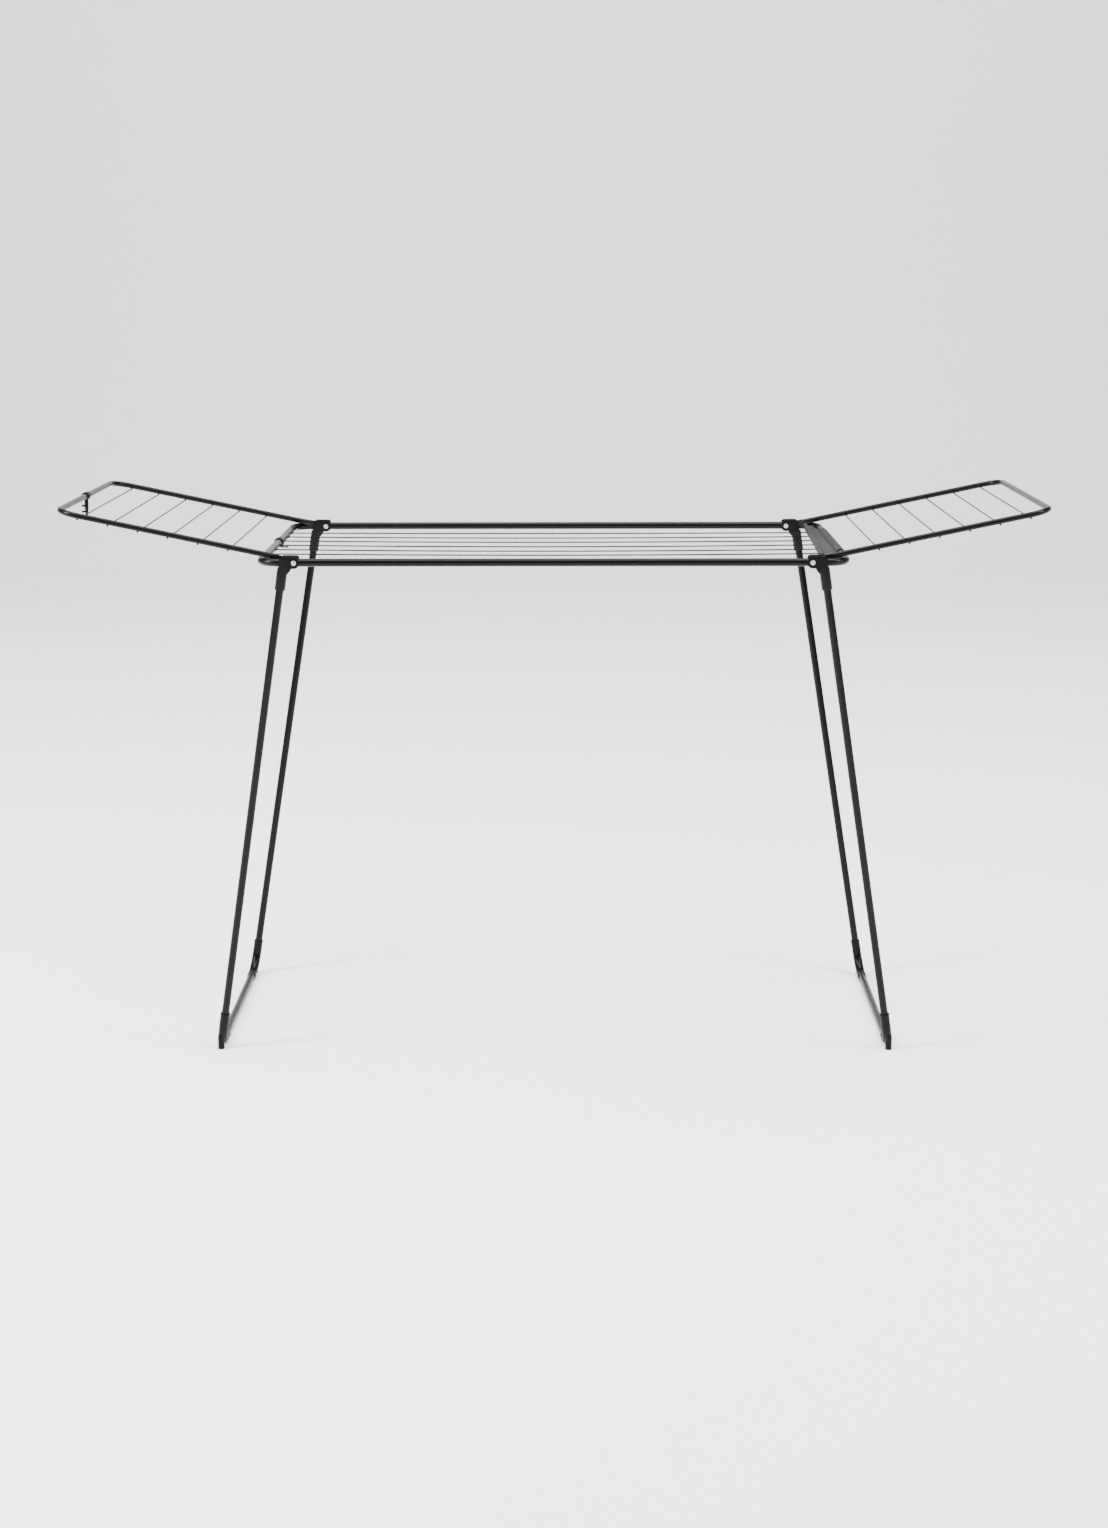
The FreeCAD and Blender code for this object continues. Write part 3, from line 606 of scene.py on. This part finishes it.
class CentreFrame(SubAssembly):
    """Root body: bent tube, six long wires, rivets, the right end panel and the clip."""

    @dataclass(frozen=True)
    class Sizes:
        """Shapes on the centre frame, in millimetres."""

        bend: float = 36.0
        flare: float = 0.5
        flare_length: float = 2.5
        panel_rim: float = 7.0
        panel_wall: float = 1.7
        panel_slant: float = 13.0
        rim_start: float = 18.0
        rim_top: float = 9.0
        floor_top: float = 5.5
        floor_lip: float = 0.9
        rim_groove: float = 2.2
        web_top: float = 2.4
        web_bottom: float = 3.9
        underside: float = 1.5
        floor_end: float = 50.5
        cover_half: float = 158.0
        cover_ripple: float = 0.18
        cover_ripples: int = 14
        cover_edge: float = 0.4
        cover_inner: float = 7.3
        cover_outer: float = 9.0
        clip_inner: float = 7.1
        clip_outer: float = 9.1
        clip_slot: float = 3.5

    def __init__(self) -> None:
        """Ride on the root body."""
        super().__init__("centre_frame")
        self.sizes = self.Sizes()
        self.height = Side.LEFT.at_hinge().origin[2]
        self.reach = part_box("centre_frame_tube")[1].x / MM - HINGE.frame_tube / 2

    def build(self) -> None:
        """Make every piece of the centre frame."""
        self.tube()
        self.wires()
        self.rivets()
        self.panel()
        self.clip()

    def tube(self) -> None:
        """Rounded rectangle of 14 mm tube, closed on itself."""
        x, y, z = self.reach * MM, HINGE.tube_y * MM, self.height
        corners = np.array([[x, -y, z], [x, y, z], [-x, y, z], [-x, -y, z]])
        path = rounded(corners, np.full(4, self.sizes.bend * MM), wrap=True)
        path = spaced(path, TUBE_STEP * MM, wrap=True)
        skin = sweep(path, WORLD.z, circle(HINGE.frame_tube / 2 * MM, 40), wrap=True)
        self.piece("centre_tube", [skin], Finishes.TUBE_COAT, ["centre_frame_tube"])

    def wires(self) -> None:
        """Long wires in their sags, each flared by a weld bead at both ends.

        Formula: z = end - sag * (1 - (x / half span)^2); radius = wire * (1 + flare *
        exp(-(distance to the end / flare length)^2)); the steps in x shorten towards the ends.
        """
        for number in range(1, 7):
            node = f"centre_wire_{number}"
            low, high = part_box(node)
            radius = (high.y - low.y) / 2
            half = high.x
            sag = (high.z - low.z) - 2 * radius
            share = np.linspace(-1, 1, 81)
            x = np.sign(share) * (1 - (1 - np.abs(share)) ** 2) * half
            z = high.z - radius - sag * (1 - (x / half) ** 2)
            path = np.stack([x, np.full_like(x, (low.y + high.y) / 2), z], -1)
            near = (half - np.abs(x)) / (self.sizes.flare_length * MM)
            thick = radius * (1 + self.sizes.flare * np.exp(-near**2))
            section = oval(thick, thick, np.full_like(x, 2), 14)
            self.piece(node + "_drawn", [sweep(path, WORLD.y, section)], Finishes.WIRE_COAT, [node])

    def rivets(self) -> None:
        """Four headed rivets, each dimpled at both ends.

        Formula: radius against length: dimple, dome, rim, shank, and the same mirrored.
        """
        head, dimple, tall = HINGE.head, HINGE.dimple, HINGE.head_height
        inner = HINGE.inner[0] + HINGE.recess_depth - 0.1
        outer = HINGE.outer[1] - HINGE.recess_depth + 0.1
        v = np.linspace(0, np.pi / 2, 9)
        bowl = np.linspace(0.05, 1, 5)
        radius = np.concatenate([dimple * bowl, dimple + 0.15 + (head - dimple - 0.15) * np.sin(v), [head]])
        rise = np.concatenate([tall - 0.8 * (1 - bowl**2), tall - (tall - 0.5) * (1 - np.cos(v)), [0.0]])
        shank = np.array([[HINGE.shank, 0.0]])
        cap = np.vstack([np.stack([radius, rise], -1), shank])
        length = outer - inner
        profile = np.vstack([cap * [1, -1], (cap * [1, 1] + [0, length])[::-1]]) * MM
        skins = []
        for side in Side:
            hinge = side.at_hinge()
            for sign in (-1.0, 1.0):
                start = hinge.origin + sign * inner * MM * WORLD.y
                skins.append(turned(profile, start, sign * WORLD.y, 28))
        self.piece("rivets", skins, Finishes.RIVET, ["hinge_rivets"], 60)

    def panel(self) -> None:
        """Moulded panel: raised rim, sunk floor and the cover round the end tube.

        Formula: a closed (x, z) section at each y; the rim's corners move by
        slant * y / length, and every ring has the same number of points.
        """
        s = self.sizes
        hinge = Side.RIGHT.at_hinge().origin
        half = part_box("end_panel")[1].y / MM
        top, floor, under, rim = s.rim_top, s.floor_top, s.underside, s.panel_rim
        y = np.unique(np.concatenate([np.linspace(-half, half, 41), [-half + 1.0, half - 1.0]]))
        soft = np.where(np.abs(y) > half - 0.5, 0.5, 0.0)
        slant = s.rim_start + s.panel_slant * (y + half) / (2 * half)
        skins = []
        rim_x = np.array([0, 0, 0.9, rim - 1.6, rim - 0.5, rim, rim, rim])
        rim_z = np.array([under, top - 1.0, top, top, top - 0.5, top - 1.6, floor - 1.0, under])
        rings = np.stack([
            slant[:, None] + rim_x[None], np.repeat(y[:, None], 8, 1),
            rim_z[None] - soft[:, None] * (rim_z[None] - 5) / 6,
        ], -1)
        skins.append(loft(rings * MM))
        inner = slant + rim - 0.6
        outer = np.full_like(y, s.floor_end)
        columns = np.array([0.0, 0.05, 0.1, 0.8, 0.9, 1.0])
        depth = np.array([s.rim_groove, s.rim_groove, 0.0, 0.0, 0.5, s.floor_lip])
        upper_x = inner[:, None] + (outer - inner)[:, None] * columns
        upper_z = np.repeat((floor - depth)[None], len(y), 0)
        lower_x = upper_x[:, ::-1]
        lower_z = np.full_like(lower_x, floor - s.panel_wall - s.floor_lip)
        flat = np.stack([
            np.hstack([upper_x, lower_x]), np.repeat(y[:, None], 12, 1), np.hstack([upper_z, lower_z])
        ], -1)
        skins.append(loft(flat * MM))
        tube_x = self.reach - hinge[0] / MM
        wide = s.cover_half
        web_y = np.linspace(-wide, wide, 9)
        web_x = np.array([s.floor_end - 2, tube_x - s.cover_inner + s.panel_wall])
        web_z = np.array([floor - s.web_top, floor - s.web_bottom])
        web = np.stack([
            np.broadcast_to(web_x[[0, 1, 1, 0]], (9, 4)),
            np.repeat(web_y[:, None], 4, 1),
            np.broadcast_to(web_z[[0, 0, 1, 1]], (9, 4)),
        ], -1)
        skins.append(loft(web * MM))
        first = math.asin(s.underside / s.cover_outer)
        angle = np.linspace(np.pi - first, -math.asin(HINGE.frame_tube / 4 / s.cover_outer), 25)
        cover_y = np.linspace(-wide + 4, wide - 4, 33)
        cover_y = np.concatenate([[-wide, -wide + 0.5], cover_y, [wide - 0.5, wide]])
        edge = np.where((cover_y < 0.5 - wide) | (cover_y > wide - 0.5), -s.cover_edge, 0.0)
        ripple = s.cover_ripple * np.cos(s.cover_ripples * angle)
        radius = s.cover_outer - s.cover_ripple + edge[:, None] + ripple
        out_x, out_z = tube_x + radius * np.cos(angle), radius * np.sin(angle)
        in_x = np.broadcast_to(tube_x + s.cover_inner * np.cos(angle[::-1]), out_x.shape)
        in_z = np.broadcast_to(s.cover_inner * np.sin(angle[::-1]), out_x.shape)
        cover = np.stack([
            np.hstack([out_x, in_x]), np.repeat(cover_y[:, None], 50, 1), np.hstack([out_z, in_z])
        ], -1)
        skins.append(loft(cover * MM))
        place = Place(hinge, WORLD.x, WORLD.y, WORLD.z)
        self.piece("end_panel_moulding", [place.put(k) for k in skins], Finishes.PANEL, ["end_panel"], 30)

    def clip(self) -> None:
        """Snap clip on the left end tube: a C ring with softened edges and a flat tab."""
        s = self.sizes
        low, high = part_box("frame_clip")
        edge = 0.6
        slot = math.asin(s.clip_slot / s.clip_outer)
        angle = np.linspace(-np.pi / 2 + slot, 3 * np.pi / 2 - slot, 41)
        y = np.array([low.y / MM, low.y / MM + edge, high.y / MM - edge, high.y / MM])
        outer = s.clip_outer - np.array([edge, 0, 0, edge])
        rings = []
        for level, radius in zip(y, outer):
            round_out = np.stack([radius * np.cos(angle), np.full(41, level), radius * np.sin(angle)], -1)
            back = angle[::-1]
            round_in = np.stack(
                [s.clip_inner * np.cos(back), np.full(41, level), s.clip_inner * np.sin(back)], -1
            )
            rings.append(np.vstack([round_out, round_in]))
        centre = Place(np.array([-self.reach * MM, 0, self.height]), WORLD.x, WORLD.y, WORLD.z)
        ring = loft(np.array(rings) * MM)
        tip = high.x / MM + self.reach
        middle = (low.y + high.y) / 2 / MM
        flat = np.array([
            [4.5, -9.0], [tip - 0.8, -9.0], [tip, -8.6], [tip, -7.6], [tip - 0.8, -7.1], [4.5, -7.1]
        ])
        tab = slab(flat * MM, low.y, middle * MM, 0.4 * MM)
        self.piece("tube_clip", [centre.put(ring), centre.put(tab)], Finishes.FITTING, ["frame_clip"])


class LegFrame(SubAssembly):
    """One leg U with its two hinge brackets and its two feet."""

    @dataclass(frozen=True)
    class Sizes:
        """Shapes on a leg frame, in millimetres; the openings are half angles in degrees."""

        narrowing: float = 42.5
        bend: float = 40.0
        top: float = 12.5
        corner: float = 0.9
        head_corner: float = 5.0
        outline_step: float = 1.6
        foot_radius: float = 8.6
        foot_bore: float = 7.1
        foot_rim: float = 9.2
        rim_height: float = 4.0
        sleeve: float = 22.0
        sleeve_whole: float = 15.0
        run: float = 19.2
        opening: float = 37.6
        opening_run: float = 4.0
        prong_opening: float = 48.0
        prong: float = 15.0
        knob: float = 6.0
        knob_height: float = 30.0
        knob_dome: float = 5.0
        knob_edge: float = 0.8

    def __init__(self, side: Side) -> None:
        """Read the leg's lean and length from its CAD node."""
        super().__init__(f"{side.word}_legs")
        self.side = side
        self.sizes = self.Sizes()
        self.hinge = side.at_hinge()
        low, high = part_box(f"{side.word}_leg_tube")
        radius = HINGE.leg_radius * MM
        tip = low.x + radius if side is Side.LEFT else high.x - radius
        out = abs(tip - self.hinge.origin[0])
        down = self.hinge.origin[2] - (low.z + radius)
        offset = HINGE.leg_offset * MM
        self.length = math.sqrt(out**2 + down**2 - offset**2)
        self.lean = math.atan2(out, down) - math.atan2(offset, self.length)
        self.splay = math.atan(self.sizes.narrowing * MM / self.length)
        self.leg = self.hinge.leant(self.lean)
        self.arc_y = (
            HINGE.tube_y * MM
            - (self.length - self.sizes.bend * MM) * math.tan(self.splay)
            - self.sizes.bend * MM / math.cos(self.splay)
        )

    def on_side(self, down: float, sign: float) -> Array:
        """Point on a side's axis at a distance in metres down the leg."""
        y = HINGE.tube_y * MM - down * math.tan(self.splay)
        return np.array([-HINGE.leg_offset * MM, sign * y, -down])

    def build(self) -> None:
        """Make the tube, the brackets and the feet."""
        self.tube()
        for end in ("front", "back"):
            self.bracket(end)
            self.foot(end)

    def tube(self) -> None:
        """U of tube: two narrowing sides and the cross tube near the floor."""
        top = self.sizes.top * MM
        corners = np.array([
            self.on_side(top, 1), self.on_side(self.length, 1),
            self.on_side(self.length, -1), self.on_side(top, -1),
        ])
        path = spaced(rounded(corners, np.full(4, self.sizes.bend * MM), steps=20), TUBE_STEP * MM)
        skin = sweep(path, WORLD.x, circle(HINGE.leg_radius * MM, 36))
        name = f"{self.side.word}_leg_u"
        self.piece(name, [self.leg.put(skin)], Finishes.TUBE_COAT, [f"{self.side.word}_leg_tube"])

    def bracket(self, end: str) -> None:
        """Forked bracket: two cheeks, the block under the frame tube and the leg socket."""
        sign = self.side.row(end)
        # Outlines are (x, z) in millimetres from the rivet, -x outboard: the round ear, the
        # head over the frame tube, the outboard side (plain or notched) and the tail.
        arc = np.radians(np.linspace(-88, 36, 18))
        ear = HINGE.ear * np.stack([np.cos(arc), np.sin(arc)], -1)
        head = np.array([[8.3, 11.6]])
        tail = np.array([[-28.6, -19], [-10.5, -19], [-5.6, -10]])
        plain = np.array([[-20.5, 11.9], [-26.5, 6], [-26.5, -9.5]])
        cut = np.array([[-20.5, 11.9], [-22, 10.4], [-22, -2.2], [-26.5, -2.8], [-26.5, -9.5]])
        skins = []
        for side_part, faces in ((plain, HINGE.outer), (cut, HINGE.inner[::-1])):
            corners = np.vstack([ear, head, side_part, tail])
            flat = np.stack([corners[:, 0], corners[:, 1], np.zeros(len(corners))], -1)
            radii = np.where(np.arange(len(corners)) < len(ear), 0.0, self.sizes.corner)
            radii[len(ear)] = self.sizes.head_corner
            line = rounded(flat, radii, wrap=True, steps=4)[:, :2]
            outline = spaced(line, self.sizes.outline_step, wrap=True) * MM
            back, face = (sign * f * MM for f in faces)
            skins.append(cheek(
                outline, back, face, (HINGE.shank + 0.05) * MM, HINGE.recess * MM, HINGE.recess_depth * MM
            ))
        low, high = sorted((sign * (HINGE.inner[1] - 0.3) * MM, sign * (HINGE.outer[0] + 0.3) * MM))
        under = -HINGE.frame_tube / 2 - HINGE.slide
        block = np.array([[-9.5, under], [-26.1, under], [-26.1, -9.5], [-28.2, -18.7], [-12.2, -18.7]])
        skins.append(slab(block * MM, low, high, 0.2 * MM))
        leg_start = self.on_side(HINGE.socket_start * MM, sign)
        down = unit(self.on_side(1.0, sign) - self.on_side(0.0, sign))
        length = HINGE.socket_end - HINGE.socket_start
        wall, bore = HINGE.socket, HINGE.leg_radius + 0.05
        profile = np.array([
            [bore, 0.5], [wall - 0.4, 0.0], [wall, 0.5], [wall, length - 2.0],
            [wall - 0.35, length - 0.9], [wall - 1.2, length], [bore + 0.3, length], [bore, length - 0.4],
        ])
        socket = turned(profile * MM, leg_start, down, 36, wrap=True)
        pieces = [self.hinge.put(s) for s in skins] + [self.leg.put(socket)]
        node = f"{self.side.word}_{end}_leg_bracket"
        self.piece(node + "_moulding", pieces, Finishes.FITTING, [node])

    def foot(self, end: str) -> None:
        """Elbow shell open inside the bend, tapering to two prongs, with a round knob.

        Formula: the section is an arc of wall between radius bore and radius skin that
        leaves an opening of half angle w towards the inside of the bend; w is 0 in the
        sleeve, then opens, and grows again towards the prongs.
        """
        s = self.sizes
        sign = self.side.row(end)
        start = self.length - (s.bend + s.sleeve) * MM
        corners = np.array([
            self.on_side(start, sign), self.on_side(self.length, sign),
            np.array([-HINGE.leg_offset * MM, sign * (self.arc_y - s.run * MM), -self.length]),
        ])
        path = spaced(rounded(corners, np.full(3, s.bend * MM), steps=24), 1.5 * MM)
        step = np.linalg.norm(np.diff(path, axis=0), axis=1)
        run = np.concatenate([[0], np.cumsum(step)]) / MM
        total = run[-1]
        opened = np.clip((run - s.sleeve_whole) / s.opening_run, 0, 1)
        prong = np.clip((run - total + s.prong) / s.prong, 0, 1)
        gap = np.radians(s.opening) * np.sqrt(1 - (1 - opened) ** 2)
        gap = gap + np.radians(s.prong_opening) * prong**2
        gap = np.maximum(gap, 0.004)
        rim = np.clip((s.rim_height - run) / 0.5, 0, 1)
        skin = s.foot_radius + (s.foot_rim - s.foot_radius) * rim
        skin = skin - 0.5 * np.clip((0.6 - run) / 0.6, 0, 1) - 0.5 * np.clip((run - total + 1) / 1, 0, 1)
        share = np.linspace(0, 1, 33)
        outer = gap[:, None] + (2 * np.pi - 2 * gap[:, None]) * share
        inner = outer[:, ::-1]
        s_part = np.hstack([skin[:, None] * np.cos(outer), s.foot_bore * np.cos(inner)])
        t_part = np.hstack([skin[:, None] * np.sin(outer), s.foot_bore * np.sin(inner)])
        across = -WORLD.x * sign
        elbow = sweep(path, across, np.stack([s_part, t_part], -1) * MM)
        v = np.linspace(0, np.pi / 2, 7)
        dome = s.knob_height - s.knob_dome + s.knob_dome * np.sin(v[:-1])
        radius = np.concatenate([[0.2, s.knob - s.knob_edge, s.knob], s.knob * np.cos(v[:-1]), [0.1]])
        height = np.concatenate([[0, 0, s.knob_edge], dome, [s.knob_height]])
        bottom = self.leg.carry(self.on_side(self.length, sign)[None])[0]
        foot_y = self.hinge.y[1] * sign * (self.arc_y + s.bend * MM)
        knob = turned(np.stack([radius, height], -1) * MM, np.array([bottom[0], foot_y, 0.0]), WORLD.z, 28)
        node = f"{self.side.word}_{end}_foot"
        self.piece(node + "_moulding", [self.leg.put(elbow), knob], Finishes.FITTING, [node])


class Wing(SubAssembly):
    """One wing: a U of thin tube with flattened roots, and six cross wires."""

    @dataclass(frozen=True)
    class Sizes:
        """Shapes on a wing, in millimetres; tab_power squares off the flat tab's section."""

        tube: float = 5.2
        side_y: float = 256.0
        bend: float = 37.0
        rise: float = 1.5
        tab_width: float = 13.0
        tab_length: float = 24.0
        tab_power: float = 7.0
        taper: float = 18.0
        bead: float = 0.35
        bead_length: float = 3.0

    def __init__(self, side: Side) -> None:
        """Read the wing's lean from its first and last wires and its length from its tube."""
        super().__init__(f"{side.word}_wing")
        self.side = side
        self.sizes = self.Sizes()
        self.hinge = side.at_hinge()
        low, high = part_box(f"{side.word}_wing_tube")
        near, far = (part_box(f"{side.word}_wing_wire_{n}") for n in (1, 6))
        near_at, far_at = ((np.array(b[0]) + np.array(b[1])) / 2 for b in (near, far))
        out, up = abs(far_at[0] - near_at[0]), far_at[2] - near_at[2]
        self.lean = math.atan2(up, out)
        tip = abs((low.x if side is Side.LEFT else high.x) - self.hinge.origin[0])
        level = tip - self.sizes.tube * MM + self.sizes.rise * MM * math.sin(self.lean)
        self.length = level / math.cos(self.lean)
        self.plane = self.hinge.leant(self.lean)

    def build(self) -> None:
        """Make the tube and its wires."""
        self.tube()
        self.wires()

    def tube(self) -> None:
        """One swept tube from eye to eye.

        Formula: at a root the section goes from a flat tab to a circle with a smooth
        step f of the distance from the hinge; past the hinge its width follows the eye.
        """
        s = self.sizes
        eye = s.tab_width / 2 * np.sin(np.linspace(np.pi / 2 - 0.06, 0, 9))
        flat_part = np.linspace(0, -s.tab_length, 6)[1:]
        taper_part = -np.linspace(s.tab_length, s.tab_length + s.taper, 13)[1:]
        root = np.concatenate([eye, flat_part, taper_part])
        share = np.clip((-root - s.tab_length) / s.taper, 0, 1)
        f = share * share * (3 - 2 * share)
        y = HINGE.tab_y + (s.side_y - HINGE.tab_y) * f
        z = s.rise * f
        end = np.sqrt(np.clip((s.tab_width / 2) ** 2 - np.clip(root, 0, None) ** 2, 0.16, None))
        wide = end + (s.tube - end) * f
        thin = HINGE.tab / 2 + (s.tube - HINGE.tab / 2) * f
        power = s.tab_power + (2 - s.tab_power) * f
        front = np.stack([root, y, z], -1) * MM
        x, side_y, rise = self.length, s.side_y * MM, s.rise * MM
        corners = np.array([front[-1], [-x, side_y, rise], [-x, -side_y, rise], front[-1] * [1, -1, 1]])
        loop = spaced(rounded(corners, np.full(4, s.bend * MM), steps=16), TUBE_STEP * MM)[1:-1]
        path = np.vstack([front, loop, front[::-1] * [1, -1, 1]])
        flat = oval(thin * MM, wide * MM, power, 28)
        middle = np.broadcast_to(circle(s.tube * MM, 28), (len(loop), 28, 2))
        skin = sweep(path, WORLD.z, np.concatenate([flat, middle, flat[::-1]]))
        name = f"{self.side.word}_wing_u"
        self.piece(name, [self.plane.put(skin)], Finishes.TUBE_COAT, [f"{self.side.word}_wing_tube"])

    def wires(self) -> None:
        """Cross wires under the side tubes, with a bead of weld where they touch them.

        Formula: radius = wire * (1 + bead * exp(-((|y| - tube) / bead length)^2)), with
        the last half millimetre rounded off.
        """
        s = self.sizes
        for number in range(1, 7):
            node = f"{self.side.word}_wing_wire_{number}"
            low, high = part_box(node)
            radius = (high.x - low.x) / 2
            half = np.concatenate([
                [high.y, high.y - 0.2 * MM, high.y - 0.6 * MM],
                np.linspace(high.y - 1.2 * MM, 0.243, 12), np.linspace(0.22, 0, 7),
            ])
            y = np.concatenate([-half, half[::-1][1:]])
            thick = radius * (1 + s.bead * np.exp(-(((np.abs(y) / MM - s.side_y) / s.bead_length) ** 2)))
            thick = thick * np.clip(0.72 + 0.5 * (high.y - np.abs(y)) / (0.6 * MM), 0, 1)
            middle = (np.array(low) + np.array(high)) / 2
            path = np.stack([np.full_like(y, middle[0]), y, np.full_like(y, middle[2])], -1)
            section = oval(thick, thick, np.full_like(y, 2), 14)
            self.piece(node + "_drawn", [sweep(path, WORLD.z, section)], Finishes.WIRE_COAT, [node])


class WingCatch(SubAssembly):
    """Catch that hangs on the left wing's end tube: C ring, blade and two pegs."""

    @dataclass(frozen=True)
    class Sizes:
        """Shapes of the catch, in millimetres."""

        inner: float = 5.5
        outer: float = 7.5
        blade: float = 7.0
        blade_tip: float = 3.6
        blade_depth: float = 4.0
        peg: float = 2.0
        peg_length: float = 6.0

    def build(self) -> None:
        """Make the ring with softened edges, the round-ended blade and the pegs."""
        s = self.Sizes()
        low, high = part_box("wing_catch")
        joint = next(j for j in frame["joints"] if j["name"] == "catch_swing")
        place = Place(np.array(joint["pos_m"], float), WORLD.x, WORLD.y, WORLD.z)
        half = high.y / MM
        ring = np.array([
            [s.inner, -half + 0.4], [s.inner + 0.4, -half], [s.outer - 0.7, -half], [s.outer, -half + 0.7],
            [s.outer, half - 0.7], [s.outer - 0.7, half], [s.inner + 0.4, half], [s.inner, half - 0.4],
        ])
        skins = [turned(ring * MM, np.zeros(3), WORLD.y, 36, wrap=True)]
        long = (place.origin[2] - low.z) / MM
        arc = np.linspace(np.pi, 2 * np.pi, 15)
        tip = s.blade_tip / 2
        end = np.stack([tip * np.cos(arc), tip * np.sin(arc) + tip - long], -1)
        wide = s.blade / 2
        root = -s.inner - 0.6
        sides = [[wide, -long / 2], [wide, root], [-wide, root], [-wide, -long / 2]]
        outline = np.vstack([end, sides])
        depth = s.blade_depth / 2 * MM
        skins.append(slab(spaced(outline, 3, wrap=True) * MM, -depth, depth, 0.5 * MM))
        reach = s.peg_length + wide
        peg = np.array([
            [s.peg, 0], [s.peg, s.peg_length], [s.peg - 0.3, reach - 0.5], [s.peg - 0.8, reach], [0.1, reach],
        ])
        for share in (1, 2):
            z = -s.outer - share * (long - s.outer) / 3
            skins.append(turned(peg * MM, np.array([0, 0, z * MM]), -WORLD.x, 20))
        self.piece("wing_catch_moulding", [place.put(k) for k in skins], Finishes.FITTING, ["wing_catch"])


# --------------------------------------------------------------------- studio


@dataclass(frozen=True)
class Studio:
    """Floor, lights and camera, in metres and radians; the lens is in millimetres."""

    lens: float = 54.5
    camera: tuple[float, float, float] = (0.0424, -4.3089, 1.4634)
    pitch: float = 0.2219
    yaw: float = -0.0103
    roll: float = -0.0024
    floor_reach: float = 40.0
    wall_at: float = 9.0
    wall_height: float = 9.0
    wall_curve: float = 3.0
    aim: tuple[float, float, float] = (0.0, 0.0, 0.7)

    def floor(self) -> None:
        """Sweep a pale floor up into a wall.

        Formula: (y, z) follows a straight line, a quarter circle and a wall, carried along x.
        """
        reach, wall = self.floor_reach, self.wall_at
        corners = np.array([[0.0, -reach, 0.0], [0.0, wall, 0.0], [0.0, wall, self.wall_height]])
        line = rounded(corners, np.array([0.0, self.wall_curve, 0.0]), steps=24)
        rows = np.stack([line + [x, 0, 0] for x in (-reach, reach)])
        count = len(line)
        index = np.arange(2 * count).reshape(2, count)
        faces = np.stack([index[0, :-1], index[1, :-1], index[1, 1:], index[0, 1:]], -1)
        mesh = bpy.data.meshes.new("studio_floor")
        mesh.from_pydata(rows.reshape(-1, 3).tolist(), [], faces.tolist())
        mesh.shade_smooth()
        paint = bpy.data.materials.new("Matt white studio paper")
        paint.use_nodes = True
        tree = paint.node_tree
        place = add_node(tree, "ShaderNodeTexCoord", {}, {}).outputs["Object"]
        fibre = add_node(tree, "ShaderNodeTexNoise", {}, {"Vector": place, "Scale": 120.0, "Detail": 2.0})
        tone = add_node(tree, "ShaderNodeMix", {"data_type": "RGBA"}, {"Factor": fibre.outputs["Fac"]})
        tone.inputs[6].default_value = linear("f4f4f4")
        tone.inputs[7].default_value = linear("fbfbfb")
        shader = tree.nodes["Principled BSDF"]
        tree.links.new(tone.outputs[2], shader.inputs["Base Color"])
        shader.inputs["Roughness"].default_value = 0.9
        mesh.materials.append(paint)
        item = bpy.data.objects.new("studio_floor", mesh)
        bpy.context.scene.collection.objects.link(item)

    def lamp(
        self, name: str, at: tuple[float, float, float], size: tuple[float, float], power: float
    ) -> None:
        """Add one soft rectangular lamp aimed at the middle of the airer.

        Args:
            name: Name of the lamp.
            at: Its place.
            size: Width and height.
            power: Watts.
        """
        data = bpy.data.lights.new(name, "AREA")
        data.shape = "RECTANGLE"
        data.size, data.size_y = size
        data.energy = power
        item = bpy.data.objects.new(name, data)
        item.location = at
        item.rotation_euler = (Vector(self.aim) - Vector(at)).to_track_quat("-Z", "Y").to_euler()
        bpy.context.scene.collection.objects.link(item)

    def build(self) -> None:
        """Make the floor, the lamps, the surround and the camera."""
        self.floor()
        self.lamp("left", (-5.0, -2.0, 3.6), (1.2, 3.6), 700)
        self.lamp("right", (5.0, -2.0, 4.0), (1.5, 3.0), 350)
        self.lamp("top", (0.0, -0.5, 7.0), (8.0, 6.0), 1500)
        world = bpy.data.worlds.new("Studio surround")
        world.use_nodes = True
        back = world.node_tree.nodes["Background"]
        back.inputs["Color"].default_value = linear("ffffff")
        back.inputs["Strength"].default_value = 0.5
        bpy.context.scene.world = world
        data = bpy.data.cameras.new("camera")
        data.lens = self.lens
        data.clip_end = 60
        item = bpy.data.objects.new("camera", data)
        bpy.context.scene.collection.objects.link(item)
        sin_y, cos_y = math.sin(self.yaw), math.cos(self.yaw)
        sin_p, cos_p = math.sin(self.pitch), math.cos(self.pitch)
        ahead = Vector((sin_y * cos_p, cos_y * cos_p, -sin_p))
        right = Vector((cos_y, -sin_y, 0))
        up = right.cross(ahead)
        right, up = (
            math.cos(self.roll) * right + math.sin(self.roll) * up,
            math.cos(self.roll) * up - math.sin(self.roll) * right,
        )
        turn = Matrix((right, up, -ahead)).transposed().to_4x4()
        item.matrix_world = Matrix.Translation(Vector(self.camera)) @ turn
        bpy.context.scene.camera = item


def main() -> None:
    """Build every sub-assembly in order, then the studio."""
    logging.basicConfig(level=logging.INFO, format="%(name)s: %(message)s", stream=sys.stdout)
    CentreFrame().build()
    for side in Side:
        LegFrame(side).build()
        Wing(side).build()
    WingCatch("wing_catch").build()
    Studio().build()


if __name__ == "__main__":
    main()
